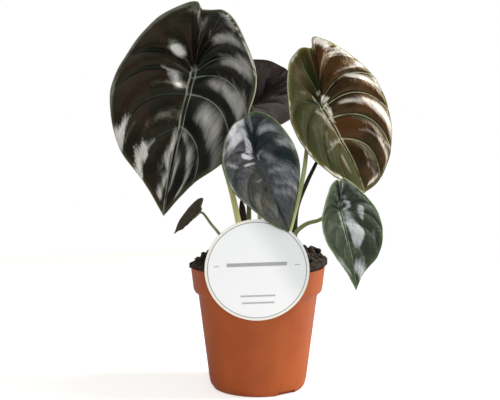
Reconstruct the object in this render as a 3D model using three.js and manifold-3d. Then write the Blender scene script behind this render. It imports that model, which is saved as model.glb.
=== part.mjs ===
// A jewel alocasia in its nursery pot: six peltate, quilted leaf blades on their stalks, a dry
// bud sheath, a withered stalk, the potting soil they stand in, the pot and a round label that
// hooks over the rim. Millimetres, +Z up, the origin at the middle of the pot's base.
import * as THREE from 'three';
import { mergeVertices } from 'three/addons/utils/BufferGeometryUtils.js';
import Module from 'manifold-3d';

const wasm = await Module();
wasm.setup();

// ---------------------------------------------------------------- driving dimensions

const CLEAR = 0.35; // gap left between neighbouring pieces

const POT_HEIGHT = 108.4;
const POT_FLOOR = 2.2;
const POT_SIDES = 48;
const DRAIN_HOLES = { count: 6, ring: 25, radius: 4 };
const DRAIN_NOTCHES = { count: 3, first: -52, ring: 41, width: 19, deep: 9, high: 3.6 };

const SOIL_SIDES = 44;
const SOIL_RINGS = 10;
const SOIL_EDGE = 57;
const SOIL_CROWN = 117;
const SOIL_DROP = 4; // from the crown to the edge
const CRUMBS = { count: 110, spread: 61, smallest: 5, largest: 9, highest: 6 };

const LABEL = { radius: 43.5, thick: 0.8, lean: 6.8, turn: -2, centre: [-1.2, -61.0, 113.5] };
const TONGUE = { width: 14, thick: 0.8, over: 109.0, inside: -56.6, foot: [-48.5, 78] };

const BLADE_THICK = 0.9;
const VEIN_ROWS = 7; // spans between ribs on each side of a blade, from the notch to the tip
const RIB_START = [0, 0, 0, 0, 0.035, 0.15, 0.38, 0.72]; // along the midrib, as a share of it
const RIB_BOW = [0, 0.05, 0.3, 0.45, 0.45, 0.45, 0.45, 0]; // how far each rib arches backwards

// Each leaf: where its stalk meets the blade; the way the blade faces (degrees to the right of
// the front, and upwards) and how far its tip swings sideways; the tip's distance and the notch
// from the stalk; the margin where the ribs end, notch to tip, as [along, across] on both sides.
// fold, arch, droop and tuck shape the blade, quilt is the height of the bulges between ribs.
const LEAVES = {
  leaf_left: {
    stalkTop: [-55.4, -12, 277.4], faces: -20, lifts: 14, swings: 9.7,
    tip: 125, notch: [-57, -7], half: 65, fold: 0.42, arch: 0.18, droop: 10, tuck: 2,
    quilt: 5.0, detail: [4, 6], colour: 0x2b2520,
    left: [[-62, -17], [-38, -44], [1, -62], [35, -66], [75, -49], [101, -21]],
    right: [[-58, 14], [-42, 36], [-4, 63], [33, 64], [67, 55], [95, 25]],
    stalk: [[-12, 2, 92], [-12, 2, 118], [-17, 1, 146], [-24, 1, 177], [-39, 0, 227], [-48, 2, 258]],
    stalkRadius: [3.0, 1.7], stalkColour: 0xa9b650,
  },
  leaf_copper: {
    stalkTop: [55.5, 8, 249.1], faces: 34, lifts: 18, swings: -28.3,
    tip: 88, notch: [-47, 22], half: 56, fold: 0.45, arch: 0.18, droop: 12, tuck: 0,
    quilt: 4.2, detail: [4, 6], colour: 0x5a3a22,
    left: [[-52, 10], [-37, -21], [-5, -49], [26, -51], [55, -35], [73, -18]],
    right: [[-54, 30], [-34, 45], [4, 60], [38, 56], [69, 40], [86, 18]],
    stalk: [[22, 4, 92], [22, 4, 118], [28, 5, 139], [34, 8, 161], [41, 13, 190], [46, 18, 228]],
    stalkRadius: [2.9, 1.5], stalkColour: 0xa9b86a,
  },
  leaf_front: {
    stalkTop: [-2.5, -64, 208.4], faces: 5, lifts: 14, swings: -23.3,
    tip: 67.5, notch: [-33, 4], half: 32, fold: 0.42, arch: 0.12, droop: 7, tuck: 0,
    quilt: 1.8, detail: [3, 5], colour: 0x3a4046,
    left: [[-31, -6], [-20, -19], [-2, -29], [20, -30], [42, -20], [57, -11]],
    right: [[-33, 15], [-22, 25], [0, 31], [20, 29.5], [38, 21], [53, 11]],
    stalk: [[4, -6, 92], [4, -6, 118], [2, -12, 149], [1, -22, 169], [-1, -42, 193]],
    stalkRadius: [2.8, 1.5], stalkColour: 0xc9c9a0,
  },
  leaf_right: {
    stalkTop: [68.5, -46, 161.8], faces: 38, lifts: 14, swings: -7.8,
    tip: 68, notch: [-24, 7], half: 35, fold: 0.48, arch: 0.12, droop: 5, tuck: 0,
    quilt: 1.6, detail: [3, 5], colour: 0x3c4a38,
    left: [[-25, 3], [-14, -14], [3, -31], [20, -33], [38, -22], [54, -8.5]],
    right: [[-25, 12], [-12, 22], [8, 32], [28, 32], [45, 24], [56, 9]],
    stalk: [[28, -6, 92], [28, -6, 118], [32, -10, 137], [41, -18, 147], [52, -29, 152]],
    stalkRadius: [2.4, 1.4], stalkColour: 0x8f9d5a,
  },
  leaf_back: {
    stalkTop: [-6, 42, 251.4], faces: 190, lifts: 54, swings: -38,
    tip: 92, notch: [-47, 2], half: 55, fold: 0.25, arch: 0.12, droop: 8, tuck: 0,
    quilt: 3.0, detail: [3, 5], colour: 0x2c2427,
    left: [[-52, -9], [-39, -34], [-6, -54], [24, -50], [50, -38], [72, -20]],
    right: [[-54, 12], [-45, 36], [-12, 57], [22, 55], [50, 41], [73, 20]],
    stalk: [[-9, 14, 92], [-9, 14, 118], [-8, 16, 148], [-8, 22, 190], [-7, 31, 230]],
    stalkRadius: [2.6, 1.4], stalkColour: 0x7f9148,
  },
  leaf_young: {
    stalkTop: [-55.2, -8, 156.9], faces: -45, lifts: 10, swings: 51.2,
    tip: 34, notch: [-8, 0], half: 9, fold: 0.3, arch: 0.1, droop: 2, tuck: 0,
    quilt: 0.5, detail: [2, 3], colour: 0x33301f,
    left: [[-13, -4.5], [-7, -7.5], [3, -7.5], [12, -6], [20, -4.5], [28, -2.2]],
    right: [[-8, 5], [-3, 7.5], [5, 7.5], [13, 5.5], [20, 4], [28, 1.8]],
    stalk: [[-23, -4, 92], [-23, -4, 118], [-33, -7, 136], [-41, -7, 146]],
    stalkRadius: [1.8, 1.0], stalkColour: 0x8b9a58,
  },
};

const BUD_SHEATH = {
  path: [[-14, 9, 92], [-14, 9, 118], [-13.5, 11, 149], [-15, 12, 167]],
  radius: [4.2, 0.7], flat: 0.5,
};
const WITHERED_STALK = {
  path: [[33, 8, 92], [33, 8, 118], [33, 10, 134], [35, 14, 158], [44, 22, 180], [57, 33, 205]],
  radius: [2.8, 1.5],
};

// ---------------------------------------------------------------- solids and booleans

const degrees = THREE.MathUtils.degToRad;

function toManifold(geometry) {
  const bare = geometry.clone();
  bare.deleteAttribute('normal');
  bare.deleteAttribute('uv');
  const merged = mergeVertices(bare, 1e-4);
  return new wasm.Manifold(new wasm.Mesh({
    numProp: 3,
    vertProperties: new Float32Array(merged.attributes.position.array),
    triVerts: new Uint32Array(merged.index.array),
  }));
}

function toGeometry(manifold) {
  const mesh = manifold.getMesh();
  const geometry = new THREE.BufferGeometry();
  geometry.setAttribute('position', new THREE.BufferAttribute(mesh.vertProperties, 3));
  geometry.setIndex(new THREE.BufferAttribute(mesh.triVerts, 1));
  geometry.computeVertexNormals();
  return geometry;
}

// A closed skin from points and triangles: coinciding points become one, empty triangles go.
function skin(points, triangles) {
  const place = new Map();
  const unique = [];
  const index = points.map((point) => {
    const key = point.map((value) => Math.round(value * 1e4)).join();
    if (!place.has(key)) {
      place.set(key, unique.length);
      unique.push(point);
    }
    return place.get(key);
  });
  const kept = triangles.map((corners) => corners.map((corner) => index[corner]))
    .filter(([a, b, c]) => a !== b && b !== c && c !== a);
  const geometry = new THREE.BufferGeometry();
  geometry.setAttribute('position', new THREE.Float32BufferAttribute(unique.flat(), 3));
  geometry.setIndex(kept.flat());
  geometry.computeVertexNormals();
  return geometry;
}

// A turned solid: the profile's [radius, height] points run up the outside and close on the axis.
function turned(profile, sides) {
  const outline = profile.map(([radius, height]) => new THREE.Vector2(radius, height));
  const geometry = new THREE.LatheGeometry(outline, sides);
  geometry.rotateX(Math.PI / 2);
  return geometry;
}

// A tapering round stalk along a smooth curve through the path, its section flattened fore and aft.
function tapered(path, [rootRadius, topRadius], flat = 1, sides = 8, steps = 12) {
  const curve = new THREE.CatmullRomCurve3(path.map((point) => new THREE.Vector3(...point)));
  const frames = curve.computeFrenetFrames(steps, false);
  const points = [];
  const triangles = [];
  for (let step = 0; step <= steps; step += 1) {
    const middle = curve.getPointAt(step / steps);
    const radius = THREE.MathUtils.lerp(rootRadius, topRadius, step / steps);
    for (let side = 0; side < sides; side += 1) {
      const angle = (2 * Math.PI * side) / sides;
      const spoke = frames.normals[step].clone().multiplyScalar(radius * Math.cos(angle))
        .addScaledVector(frames.binormals[step], radius * Math.sin(angle));
      spoke.y *= flat;
      points.push(middle.clone().add(spoke).toArray());
    }
  }
  const foot = points.push(curve.getPointAt(0).toArray()) - 1;
  const head = points.push(curve.getPointAt(1).toArray()) - 1;
  for (let side = 0; side < sides; side += 1) {
    const next = (side + 1) % sides;
    for (let step = 0; step < steps; step += 1) {
      const low = step * sides;
      const high = low + sides;
      triangles.push([low + side, low + next, high + next], [low + side, high + next, high + side]);
    }
    triangles.push([foot, next, side], [head, steps * sides + side, steps * sides + next]);
  }
  return skin(points, triangles);
}

// ---------------------------------------------------------------- leaf blades

// A smooth value between listed ones: a Catmull-Rom curve whose ends run straight on.
function along(list, position) {
  const span = Math.min(Math.floor(position), list.length - 2);
  const t = position - span;
  const at = (index) => {
    if (index < 0) return list[0].map((value, axis) => 2 * value - list[1][axis]);
    if (index < list.length) return list[index];
    return list.at(-1).map((value, axis) => 2 * value - list.at(-2)[axis]);
  };
  const [before, start, end, after] = [at(span - 1), at(span), at(span + 1), at(span + 2)];
  return start.map((value, axis) => 0.5 * (2 * value + (end[axis] - before[axis]) * t
    + (2 * before[axis] - 5 * value + 4 * end[axis] - after[axis]) * t ** 2
    + (3 * value - before[axis] - 3 * end[axis] + after[axis]) * t ** 3));
}

// A point of the blade as [along, across, height]: row counts the ribs from the notch to the
// tip, reach goes from the midrib (0) to the margin (1), side is -1 on the left, 1 on the right.
function bladePoint(leaf, side, row, reach) {
  const margin = [leaf.notch, ...(side < 0 ? leaf.left : leaf.right), [leaf.tip, 0]];
  const [endAlong, endAcross] = along(margin, row);
  const span = Math.min(Math.floor(row), VEIN_ROWS - 1);
  const start = leaf.tip * THREE.MathUtils.lerp(RIB_START[span], RIB_START[span + 1], row - span);
  const bow = THREE.MathUtils.lerp(RIB_BOW[span], RIB_BOW[span + 1], row - span);
  const bendAlong = (start + endAlong) / 2 - side * bow * endAcross;
  const bendAcross = endAcross / 2 + side * bow * (endAlong - start);
  const a = (1 - reach) ** 2;
  const b = 2 * reach * (1 - reach);
  const c = reach ** 2;
  const u = a * start + b * bendAlong + c * endAlong;
  const v = b * bendAcross + c * endAcross;
  const out = Math.sqrt(v * v + 16) - 4;
  const ahead = Math.max(u, 0) / leaf.tip;
  const behind = Math.max(-u, 0) / (leaf.tip / 2);
  const bulge = Math.abs(Math.sin(Math.PI * row)) ** 0.7 * Math.sin(Math.PI * reach ** 0.8) ** 0.8;
  const height = leaf.fold * out - (leaf.arch * out ** 2) / leaf.half
    - leaf.droop * ahead ** 2 - leaf.tuck * behind ** 2 + leaf.quilt * bulge;
  return [u, v, height];
}

// The blade hangs tip down and faces the front before it is turned: across is x, along is -z.
function blade(leaf) {
  const [perRow, cells] = leaf.detail;
  const count = VEIN_ROWS * perRow;
  const rulings = [];
  for (let i = 0; i <= count; i += 1) rulings.push([1, i / perRow]);
  for (let i = count - 1; i > 0; i -= 1) rulings.push([-1, i / perRow]);
  const points = [];
  for (const lower of [0, BLADE_THICK]) {
    for (const [side, row] of rulings) {
      for (let cell = 0; cell <= cells; cell += 1) {
        const [u, v, height] = bladePoint(leaf, side, row, cell / cells);
        points.push([v, lower - height, -u]);
      }
    }
  }
  const line = cells + 1;
  const under = rulings.length * line;
  const triangles = [];
  rulings.forEach((_, ruling) => {
    const here = ruling * line;
    const next = ((ruling + 1) % rulings.length) * line;
    for (let cell = 0; cell < cells; cell += 1) {
      const [p, q, r, s] = [here + cell, here + cell + 1, next + cell + 1, next + cell];
      triangles.push([p, r, q], [p, s, r]);
      triangles.push([under + p, under + q, under + r], [under + p, under + r, under + s]);
    }
    const [edge, nextEdge] = [here + cells, next + cells];
    triangles.push([edge, nextEdge, under + nextEdge], [edge, under + nextEdge, under + edge]);
  });
  return skin(points, triangles);
}

function bladeTurn(leaf) {
  return new THREE.Euler(degrees(-leaf.lifts), degrees(leaf.swings), degrees(leaf.faces), 'ZXY');
}

// The stalk's path runs on to meet the back of the blade squarely.
function stalkPath(leaf) {
  const facing = new THREE.Vector3(0, -1, 0).applyEuler(bladeTurn(leaf));
  const top = new THREE.Vector3(...leaf.stalkTop);
  const behind = (distance) => top.clone().addScaledVector(facing, -distance).toArray();
  return [...leaf.stalk, behind(9), behind(BLADE_THICK + CLEAR)];
}

// ---------------------------------------------------------------- pot, soil and label

function pot() {
  const body = toManifold(turned([
    [0, 0], [39.5, 0], [41.3, 2], [42.7, 5.5], [43.5, 10], [52.6, 82], [53.2, 84.6], [55.4, 85.6],
    [56.9, 87.6], [57.3, 90], [59.2, 106], [59.3, POT_HEIGHT - 0.4], [58.7, POT_HEIGHT],
    [57.6, POT_HEIGHT - 0.6], [55.8, 90], [51.2, 82], [42, 10], [40, POT_FLOOR], [0, POT_FLOOR],
  ], POT_SIDES));
  let cut = body;
  for (let i = 0; i < DRAIN_HOLES.count; i += 1) {
    const angle = (2 * Math.PI * i) / DRAIN_HOLES.count;
    const hole = new THREE.CylinderGeometry(DRAIN_HOLES.radius, DRAIN_HOLES.radius, 10, 16);
    hole.rotateX(Math.PI / 2);
    hole.translate(DRAIN_HOLES.ring * Math.cos(angle), DRAIN_HOLES.ring * Math.sin(angle), 0);
    cut = cut.subtract(toManifold(hole));
  }
  for (let i = 0; i < DRAIN_NOTCHES.count; i += 1) {
    const notch = new THREE.BoxGeometry(DRAIN_NOTCHES.deep, DRAIN_NOTCHES.width,
      2 * DRAIN_NOTCHES.high);
    notch.translate(DRAIN_NOTCHES.ring, 0, 0);
    notch.rotateZ(degrees(DRAIN_NOTCHES.first + (360 * i) / DRAIN_NOTCHES.count));
    cut = cut.subtract(toManifold(notch));
  }
  return cut;
}

// Height of the crumbs that lie on the soil at a point: the highest of many small domes, set out
// in a sunflower pattern and jittered by a sine rule.
function crumbHeight(x, y) {
  let highest = 0;
  for (let i = 0; i < CRUMBS.count; i += 1) {
    const chance = Math.abs(Math.sin(12.9898 * (i + 1)) * 43758.5453) % 1;
    const other = Math.abs(Math.sin(78.233 * (i + 1)) * 12543.853) % 1;
    const ring = CRUMBS.spread * Math.sqrt((i + 0.3 + 0.6 * chance) / CRUMBS.count);
    const angle = 2.39996 * i + 0.5 * other;
    const size = THREE.MathUtils.lerp(CRUMBS.smallest, CRUMBS.largest, other);
    const distance = Math.hypot(x - ring * Math.cos(angle), y - ring * Math.sin(angle)) / size;
    const dome = CRUMBS.highest * (0.45 + 0.55 * chance) * (1 - distance ** 2);
    highest = Math.max(highest, dome);
  }
  return highest;
}

function soil() {
  const rim = POT_HEIGHT + CLEAR;
  const profile = [
    [0, POT_FLOOR + CLEAR], [38.5, POT_FLOOR + CLEAR], [41.5, 10], [50.7, 82], [55.3, 90],
    [SOIL_EDGE, POT_HEIGHT - 1], [SOIL_EDGE, rim], [SOIL_EDGE + 1, rim + 1.5],
  ];
  for (let ring = SOIL_RINGS; ring >= 0; ring -= 1) {
    const share = ring / SOIL_RINGS;
    profile.push([(SOIL_EDGE + 1) * share, SOIL_CROWN - SOIL_DROP * share ** 4]);
  }
  const geometry = turned(profile, SOIL_SIDES);
  const position = geometry.attributes.position;
  for (let i = 0; i < position.count; i += 1) {
    const [x, y, z] = [position.getX(i), position.getY(i), position.getZ(i)];
    const radius = Math.hypot(x, y);
    const sideways = radius > 1 ? Math.max(0, Math.abs(x) / radius - 0.72) / 0.28 : 0;
    if (z > rim + 1) {
      const edge = THREE.MathUtils.smoothstep(radius, 40, SOIL_EDGE);
      const spread = 1 + 0.07 * sideways * edge;
      const top = z > rim + 2 ? z + crumbHeight(x * spread, y * spread) : z;
      position.setXYZ(i, x * spread, y * spread, top);
    }
  }
  return toManifold(geometry);
}

// The tongue's side view in [y, z]: from the label's back over the rim and down into the soil.
function tongueOutline(grow) {
  const [footY, footZ] = TONGUE.foot;
  const { over, thick, inside } = TONGUE;
  const front = LABEL.centre[1];
  return [
    [front, over - grow], [inside - grow, over - grow], [footY - grow, footZ - grow],
    [footY + thick + grow, footZ - grow], [inside + thick + grow, over + thick + grow],
    [front, over + thick + grow],
  ];
}

function tongueSolid(outline, width) {
  const shape = new THREE.Shape(outline.map(([y, z]) => new THREE.Vector2(y, z)));
  const geometry = new THREE.ExtrudeGeometry(shape, { depth: width, bevelEnabled: false });
  geometry.translate(0, 0, -width / 2);
  geometry.rotateX(Math.PI / 2);
  geometry.rotateZ(Math.PI / 2);
  return toManifold(geometry);
}

function label() {
  const disc = new THREE.CylinderGeometry(LABEL.radius, LABEL.radius, LABEL.thick, 48);
  disc.rotateY(degrees(LABEL.turn));
  disc.rotateX(degrees(LABEL.lean));
  disc.translate(...LABEL.centre);
  return toManifold(disc).add(tongueSolid(tongueOutline(0), TONGUE.width));
}

// The slot that the tongue stands in is open upwards, and near the rim outwards as well.
function tongueSlot() {
  const [, [topY, topZ], ...rest] = tongueOutline(CLEAR);
  const [footY, footZ] = rest[0];
  const above = SOIL_CROWN + 12;
  const ledge = POT_HEIGHT - 5;
  const ledgeY = THREE.MathUtils.mapLinear(ledge, topZ, footZ, topY, footY);
  const beyond = -SOIL_EDGE - 10;
  const open = [[beyond, ledge], [ledgeY, ledge], ...rest.slice(0, 3), [rest[2][0], above],
    [beyond, above]];
  return tongueSolid(open, TONGUE.width + 2 * CLEAR);
}

// A stalk's plain hole follows the stalk, a little wider and deeper.
function hole(path, radii, flat) {
  const [[x, y, z], ...rest] = path;
  return toManifold(tapered([[x, y, z - CLEAR], ...rest], radii.map((r) => r + CLEAR), flat));
}

// ---------------------------------------------------------------- the plant in its pot

const plant = new THREE.Group();

function place(name, geometry, colour, roughness) {
  const material = new THREE.MeshStandardMaterial({ color: colour, roughness, metalness: 0 });
  const mesh = new THREE.Mesh(geometry, material);
  mesh.name = name;
  plant.add(mesh);
  return mesh;
}

let ground = soil().subtract(tongueSlot());
for (const [name, leaf] of Object.entries(LEAVES)) {
  const mesh = place(`${name}_blade`, blade(leaf), leaf.colour, 0.25);
  mesh.position.set(...leaf.stalkTop);
  mesh.rotation.copy(bladeTurn(leaf));
  const path = stalkPath(leaf);
  place(`${name}_stalk`, tapered(path, leaf.stalkRadius), leaf.stalkColour, 0.45);
  ground = ground.subtract(hole(path, leaf.stalkRadius));
}
place('bud_sheath', tapered(BUD_SHEATH.path, BUD_SHEATH.radius, BUD_SHEATH.flat), 0x3a2a1c, 0.8);
ground = ground.subtract(hole(BUD_SHEATH.path, BUD_SHEATH.radius, BUD_SHEATH.flat));
place('withered_stalk', tapered(WITHERED_STALK.path, WITHERED_STALK.radius), 0x262317, 0.7);
ground = ground.subtract(hole(WITHERED_STALK.path, WITHERED_STALK.radius));
place('potting_soil', toGeometry(ground), 0x241c17, 0.95);
place('pot', toGeometry(pot()), 0xb5602f, 0.55);
place('plant_label', toGeometry(label()), 0xf1f1ee, 0.3);

export default plant;
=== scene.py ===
"""A jewel alocasia in its nursery pot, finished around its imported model.

The sections follow the plant as it is put together: the studio, the pot, the potting soil, the
round label, the leaf stalks, the six blades, the dry bud sheath and the withered stalk. Sizes are
in millimetres and go into the meshes in metres, +Z up, the origin under the middle of the pot.
"""
import math

import bmesh
import bpy
import numpy as np
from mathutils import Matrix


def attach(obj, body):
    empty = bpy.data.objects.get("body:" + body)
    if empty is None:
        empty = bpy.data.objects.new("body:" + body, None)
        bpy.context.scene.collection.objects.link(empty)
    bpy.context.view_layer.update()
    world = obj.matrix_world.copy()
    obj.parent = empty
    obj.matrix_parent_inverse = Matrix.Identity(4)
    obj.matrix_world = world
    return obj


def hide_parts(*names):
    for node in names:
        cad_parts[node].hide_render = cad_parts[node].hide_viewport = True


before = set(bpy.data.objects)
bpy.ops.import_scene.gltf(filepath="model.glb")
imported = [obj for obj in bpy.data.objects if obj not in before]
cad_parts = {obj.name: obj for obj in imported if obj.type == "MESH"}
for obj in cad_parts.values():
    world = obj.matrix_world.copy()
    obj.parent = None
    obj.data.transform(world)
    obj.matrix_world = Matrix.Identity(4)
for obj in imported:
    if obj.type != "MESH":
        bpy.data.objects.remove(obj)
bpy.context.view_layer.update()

# ---------------------------------------------------------------- camera
# A long lens at about the height of the leaves, looking a few degrees down at the pot.

LOOKS_DOWN = 4.97
camera = bpy.data.objects.new("camera", bpy.data.cameras.new("camera"))
camera.location = (-0.007, -0.900, 0.245)
camera.rotation_euler = (math.radians(90 - LOOKS_DOWN), 0, 0)
camera.data.lens = 73.66
camera.data.sensor_width = 36
bpy.context.scene.collection.objects.link(camera)
bpy.context.scene.camera = camera

# ---------------------------------------------------------------- studio
# A round pale floor under three soft lamps: a warm key box high on the right, a small weak one
# behind the camera and a large weak one high on the left. A pale surround fills the shadows. To
# the camera itself, the surround is white and the floor is lifted towards it.

PLANT_MIDDLE = (0, 0, 0.2)
FLOOR_LIFT = 0.5
SURROUND_GLOW = 0.32


def soft_box(name, place, width, height, watts, colour=(1.0, 1.0, 1.0)):
    """A rectangular lamp of width by height metres that stands at place and faces the plant."""
    lamp = bpy.data.lights.new(name, "AREA")
    lamp.shape = "RECTANGLE"
    lamp.size = width
    lamp.size_y = height
    lamp.energy = watts
    lamp.color = colour
    stand = bpy.data.objects.new(name, lamp)
    stand.location = place
    away = np.subtract(place, PLANT_MIDDLE)
    across = math.atan2(away[0], -away[1])
    upward = math.atan2(away[2], math.hypot(away[0], away[1]))
    stand.rotation_euler = (math.pi / 2 - upward, 0, across)
    stand.visible_camera = False
    bpy.context.scene.collection.objects.link(stand)


soft_box("key_box", (0.82, 0.0, 0.62), 0.3, 0.7, 12, (1.0, 0.97, 0.93))
soft_box("front_box", (0.05, -1.16, 0.40), 0.26, 0.26, 4.0)
soft_box("upper_box", (-0.80, -0.35, 1.0), 1.4, 1.4, 4.5)


def finish(name, **sockets):
    """A material whose shader has the given sockets set."""
    material = bpy.data.materials.new(name)
    material.use_nodes = True
    shader = material.node_tree.nodes["Principled BSDF"]
    for socket, value in sockets.items():
        given = (*value, 1) if isinstance(value, tuple) else value
        shader.inputs[socket.replace("_", " ")].default_value = given
    return material


class Tone:
    """A number or colour that is worked out all over a finish: one output of a shader node. A sum
    on tones reads as plain arithmetic and adds the node that does it."""

    def __init__(self, output):
        self.output = output

    def sum(self, operation, other=0.0, clamp=False):
        """What the operation makes of this tone and the other."""
        return put(self.output.id_data, "Math", {0: self, 1: other}, operation=operation, use_clamp=clamp)

    def __add__(self, other):
        return self.sum("ADD", other)

    def __sub__(self, other):
        return self.sum("SUBTRACT", other)

    def __mul__(self, other):
        return self.sum("MULTIPLY", other)

    def __abs__(self):
        return self.sum("ABSOLUTE")


def put(tree, kind, inputs, out=0, **settings):
    """Adds one shader node with its settings, fills its inputs with numbers, colours or tones,
    and hands back one of its outputs as a tone."""
    made = tree.nodes.new("ShaderNode" + kind)
    for setting, value in settings.items():
        setattr(made, setting, value)
    for socket, value in inputs.items():
        if isinstance(value, Tone):
            tree.links.new(value.output, made.inputs[socket])
        else:
            made.inputs[socket].default_value = (*value, 1) if isinstance(value, tuple) else value
    return Tone(made.outputs[out])


surround = bpy.data.worlds.new("surround")
surround.use_nodes = True
air = surround.node_tree
glow = put(air, "Background", {"Color": (0.98, 0.97, 0.91), "Strength": SURROUND_GLOW})
backing = put(air, "Background", {"Color": (1.0, 1.0, 1.0)})
seen = put(air, "LightPath", {}, out="Is Camera Ray")
chosen = put(air, "MixShader", {0: seen, 1: glow, 2: backing})
air.links.new(chosen.output, air.nodes["World Output"].inputs["Surface"])
bpy.context.scene.world = surround
bpy.context.scene.view_settings.view_transform = "Standard"

bpy.ops.mesh.primitive_circle_add(vertices=96, radius=0.9, fill_type="NGON", location=(0, 0, 0))
floor = bpy.context.object
floor.name = "floor"
paint = finish("floor_paint", Base_Color=(0.88, 0.88, 0.87), Roughness=0.7, Emission_Color=(1.0, 1.0, 1.0))
coat = paint.node_tree
lift = put(coat, "LightPath", {}, out="Is Camera Ray") * FLOOR_LIFT
coat.links.new(lift.output, coat.nodes["Principled BSDF"].inputs["Emission Strength"])
floor.data.materials.append(paint)

# ---------------------------------------------------------------- pot
# A thin-walled nursery pot, vacuum formed from terracotta-coloured plastic sheet: a tapering wall,
# a step out to the collar, a rolled lip, drain holes and three notches in the foot.

POT_HEIGHT = 108.4
POT_SIDES = 168
POT_ROUNDING = 1.6
POT_PROFILE = [
    [0, 0], [39.5, 0], [41.3, 2], [42.7, 5.5], [43.5, 10], [52.6, 82], [53.2, 84.6], [55.4, 85.6],
    [56.9, 87.6], [57.3, 90], [59.2, 106], [59.3, POT_HEIGHT - 0.4], [58.7, POT_HEIGHT],
    [57.6, POT_HEIGHT - 0.6], [55.8, 90], [51.2, 82], [42, 10], [40, 2.2], [0, 2.2],
]
DRAIN_HOLES = {"count": 6, "first": 0, "ring": 25}
HOLE = {"radius": 4, "sides": 32, "deep": 10, "twist": 0.05}
DRAIN_NOTCHES = {"count": 3, "first": -52, "ring": 41}
NOTCH = {"deep": 9, "width": 19, "high": 3.6, "round": 1.2}
POT_CRISP = 42


def solid(name, points, faces, skin, measures=None, merge=1e-3):
    """A closed piece: points in millimetres, faces as arrays of corner numbers, measures as one
    value for each point, which the finish can read. Points closer than merge become one."""
    mesh = bpy.data.meshes.new(name)
    corners = np.concatenate([face.ravel() for face in faces]).astype(np.int32)
    sizes = np.concatenate([np.full(len(face), face.shape[1]) for face in faces])
    mesh.vertices.add(len(points))
    mesh.vertices.foreach_set("co", (np.asarray(points) / 1000).astype(np.float32).ravel())
    mesh.loops.add(len(corners))
    mesh.loops.foreach_set("vertex_index", corners)
    mesh.polygons.add(len(sizes))
    mesh.polygons.foreach_set("loop_start", np.r_[0, np.cumsum(sizes)[:-1]].astype(np.int32))
    mesh.update(calc_edges=True)
    for measure, values in (measures or {}).items():
        layer = mesh.attributes.new(measure, "FLOAT", "POINT")
        layer.data.foreach_set("value", np.asarray(values, np.float32).ravel())
    if merge:
        work = bmesh.new()
        work.from_mesh(mesh)
        bmesh.ops.remove_doubles(work, verts=work.verts, dist=merge / 1000)
        work.to_mesh(mesh)
        work.free()
    mesh.polygons.foreach_set("use_smooth", np.ones(len(mesh.polygons), bool))
    mesh.materials.append(skin)
    piece = bpy.data.objects.new(name, mesh)
    bpy.context.scene.collection.objects.link(piece)
    return piece


def ring_faces(rings, sides):
    """The four-cornered faces between each ring of points and the next one."""
    ring, side = np.meshgrid(np.arange(rings - 1), np.arange(sides), indexing="ij")
    low, after = ring * sides, (side + 1) % sides
    quads = np.stack([low + side, low + after, low + sides + after, low + sides + side], axis=-1)
    return quads.reshape(-1, 4)


def turned(profile, sides):
    """Points and faces of a turned form: each [radius, height] of the profile goes round the
    axis in equal steps, so a point is (radius cos angle, radius sin angle, height)."""
    radius, height = np.asarray(profile, float).T
    angle = 2 * np.pi * np.arange(sides) / sides
    points = np.stack([
        radius[:, None] * np.cos(angle), radius[:, None] * np.sin(angle),
        np.broadcast_to(height[:, None], (len(radius), sides)),
    ], axis=-1).reshape(-1, 3)
    return points, ring_faces(len(radius), sides)


def rounded(corners, radius, steps=4):
    """The profile with each inner corner replaced by a short curve: points at t along the
    quadratic from radius before the corner to radius after it."""
    corners = np.asarray(corners, float)
    before, here, after = corners[:-2], corners[1:-1], corners[2:]
    to_before, to_after = before - here, after - here
    long_before = np.linalg.norm(to_before, axis=1, keepdims=True)
    long_after = np.linalg.norm(to_after, axis=1, keepdims=True)
    reach = np.minimum(radius, 0.45 * np.minimum(long_before, long_after))
    start, end = here + to_before / long_before * reach, here + to_after / long_after * reach
    t = np.linspace(0, 1, steps)[None, :, None]
    curve = (1 - t) ** 2 * start[:, None] + 2 * t * (1 - t) * here[:, None] + t ** 2 * end[:, None]
    return np.vstack([corners[:1], curve.reshape(-1, 2), corners[-1:]])


def grain(material, scale, stretch=(1, 1, 1), detail=3.0, rough=0.5):
    """Soft noise between about 0.3 and 0.7 on the piece's own coordinates, in features of about
    one metre over scale, drawn out where stretch is small."""
    tree = material.node_tree
    place = put(tree, "TexCoord", {}, out="Object")
    drawn_out = put(tree, "Mapping", {"Vector": place, "Scale": list(stretch)})
    return put(tree, "TexNoise", {"Vector": drawn_out, "Scale": scale, "Detail": detail, "Roughness": rough})


def ramp(tone, low, high, start=0.0, end=1.0):
    """A smooth step: start where the tone is low or less, end where it is high or more."""
    return put(tone.output.id_data, "MapRange", {
        "Value": tone, "From Min": low, "From Max": high, "To Min": start, "To Max": end},
        interpolation_type="SMOOTHSTEP")


def tint(share, first, second):
    """The colour that is share of the way from first to second."""
    return put(share.output.id_data, "Mix", {0: share, 6: first, 7: second}, out=2, data_type="RGBA")


def wear(material, colour, roughness, height, depth):
    """Joins the worked-out colour, roughness and height, of so many metres, to the shader. Where
    roughness is None, the shader keeps its own."""
    tree = material.node_tree
    bump = put(tree, "Bump", {"Height": height, "Distance": depth, "Strength": 1.0})
    for socket, tone in (("Base Color", colour), ("Roughness", roughness), ("Normal", bump)):
        if tone is not None:
            tree.links.new(tone.output, tree.nodes["Principled BSDF"].inputs[socket])


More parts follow.
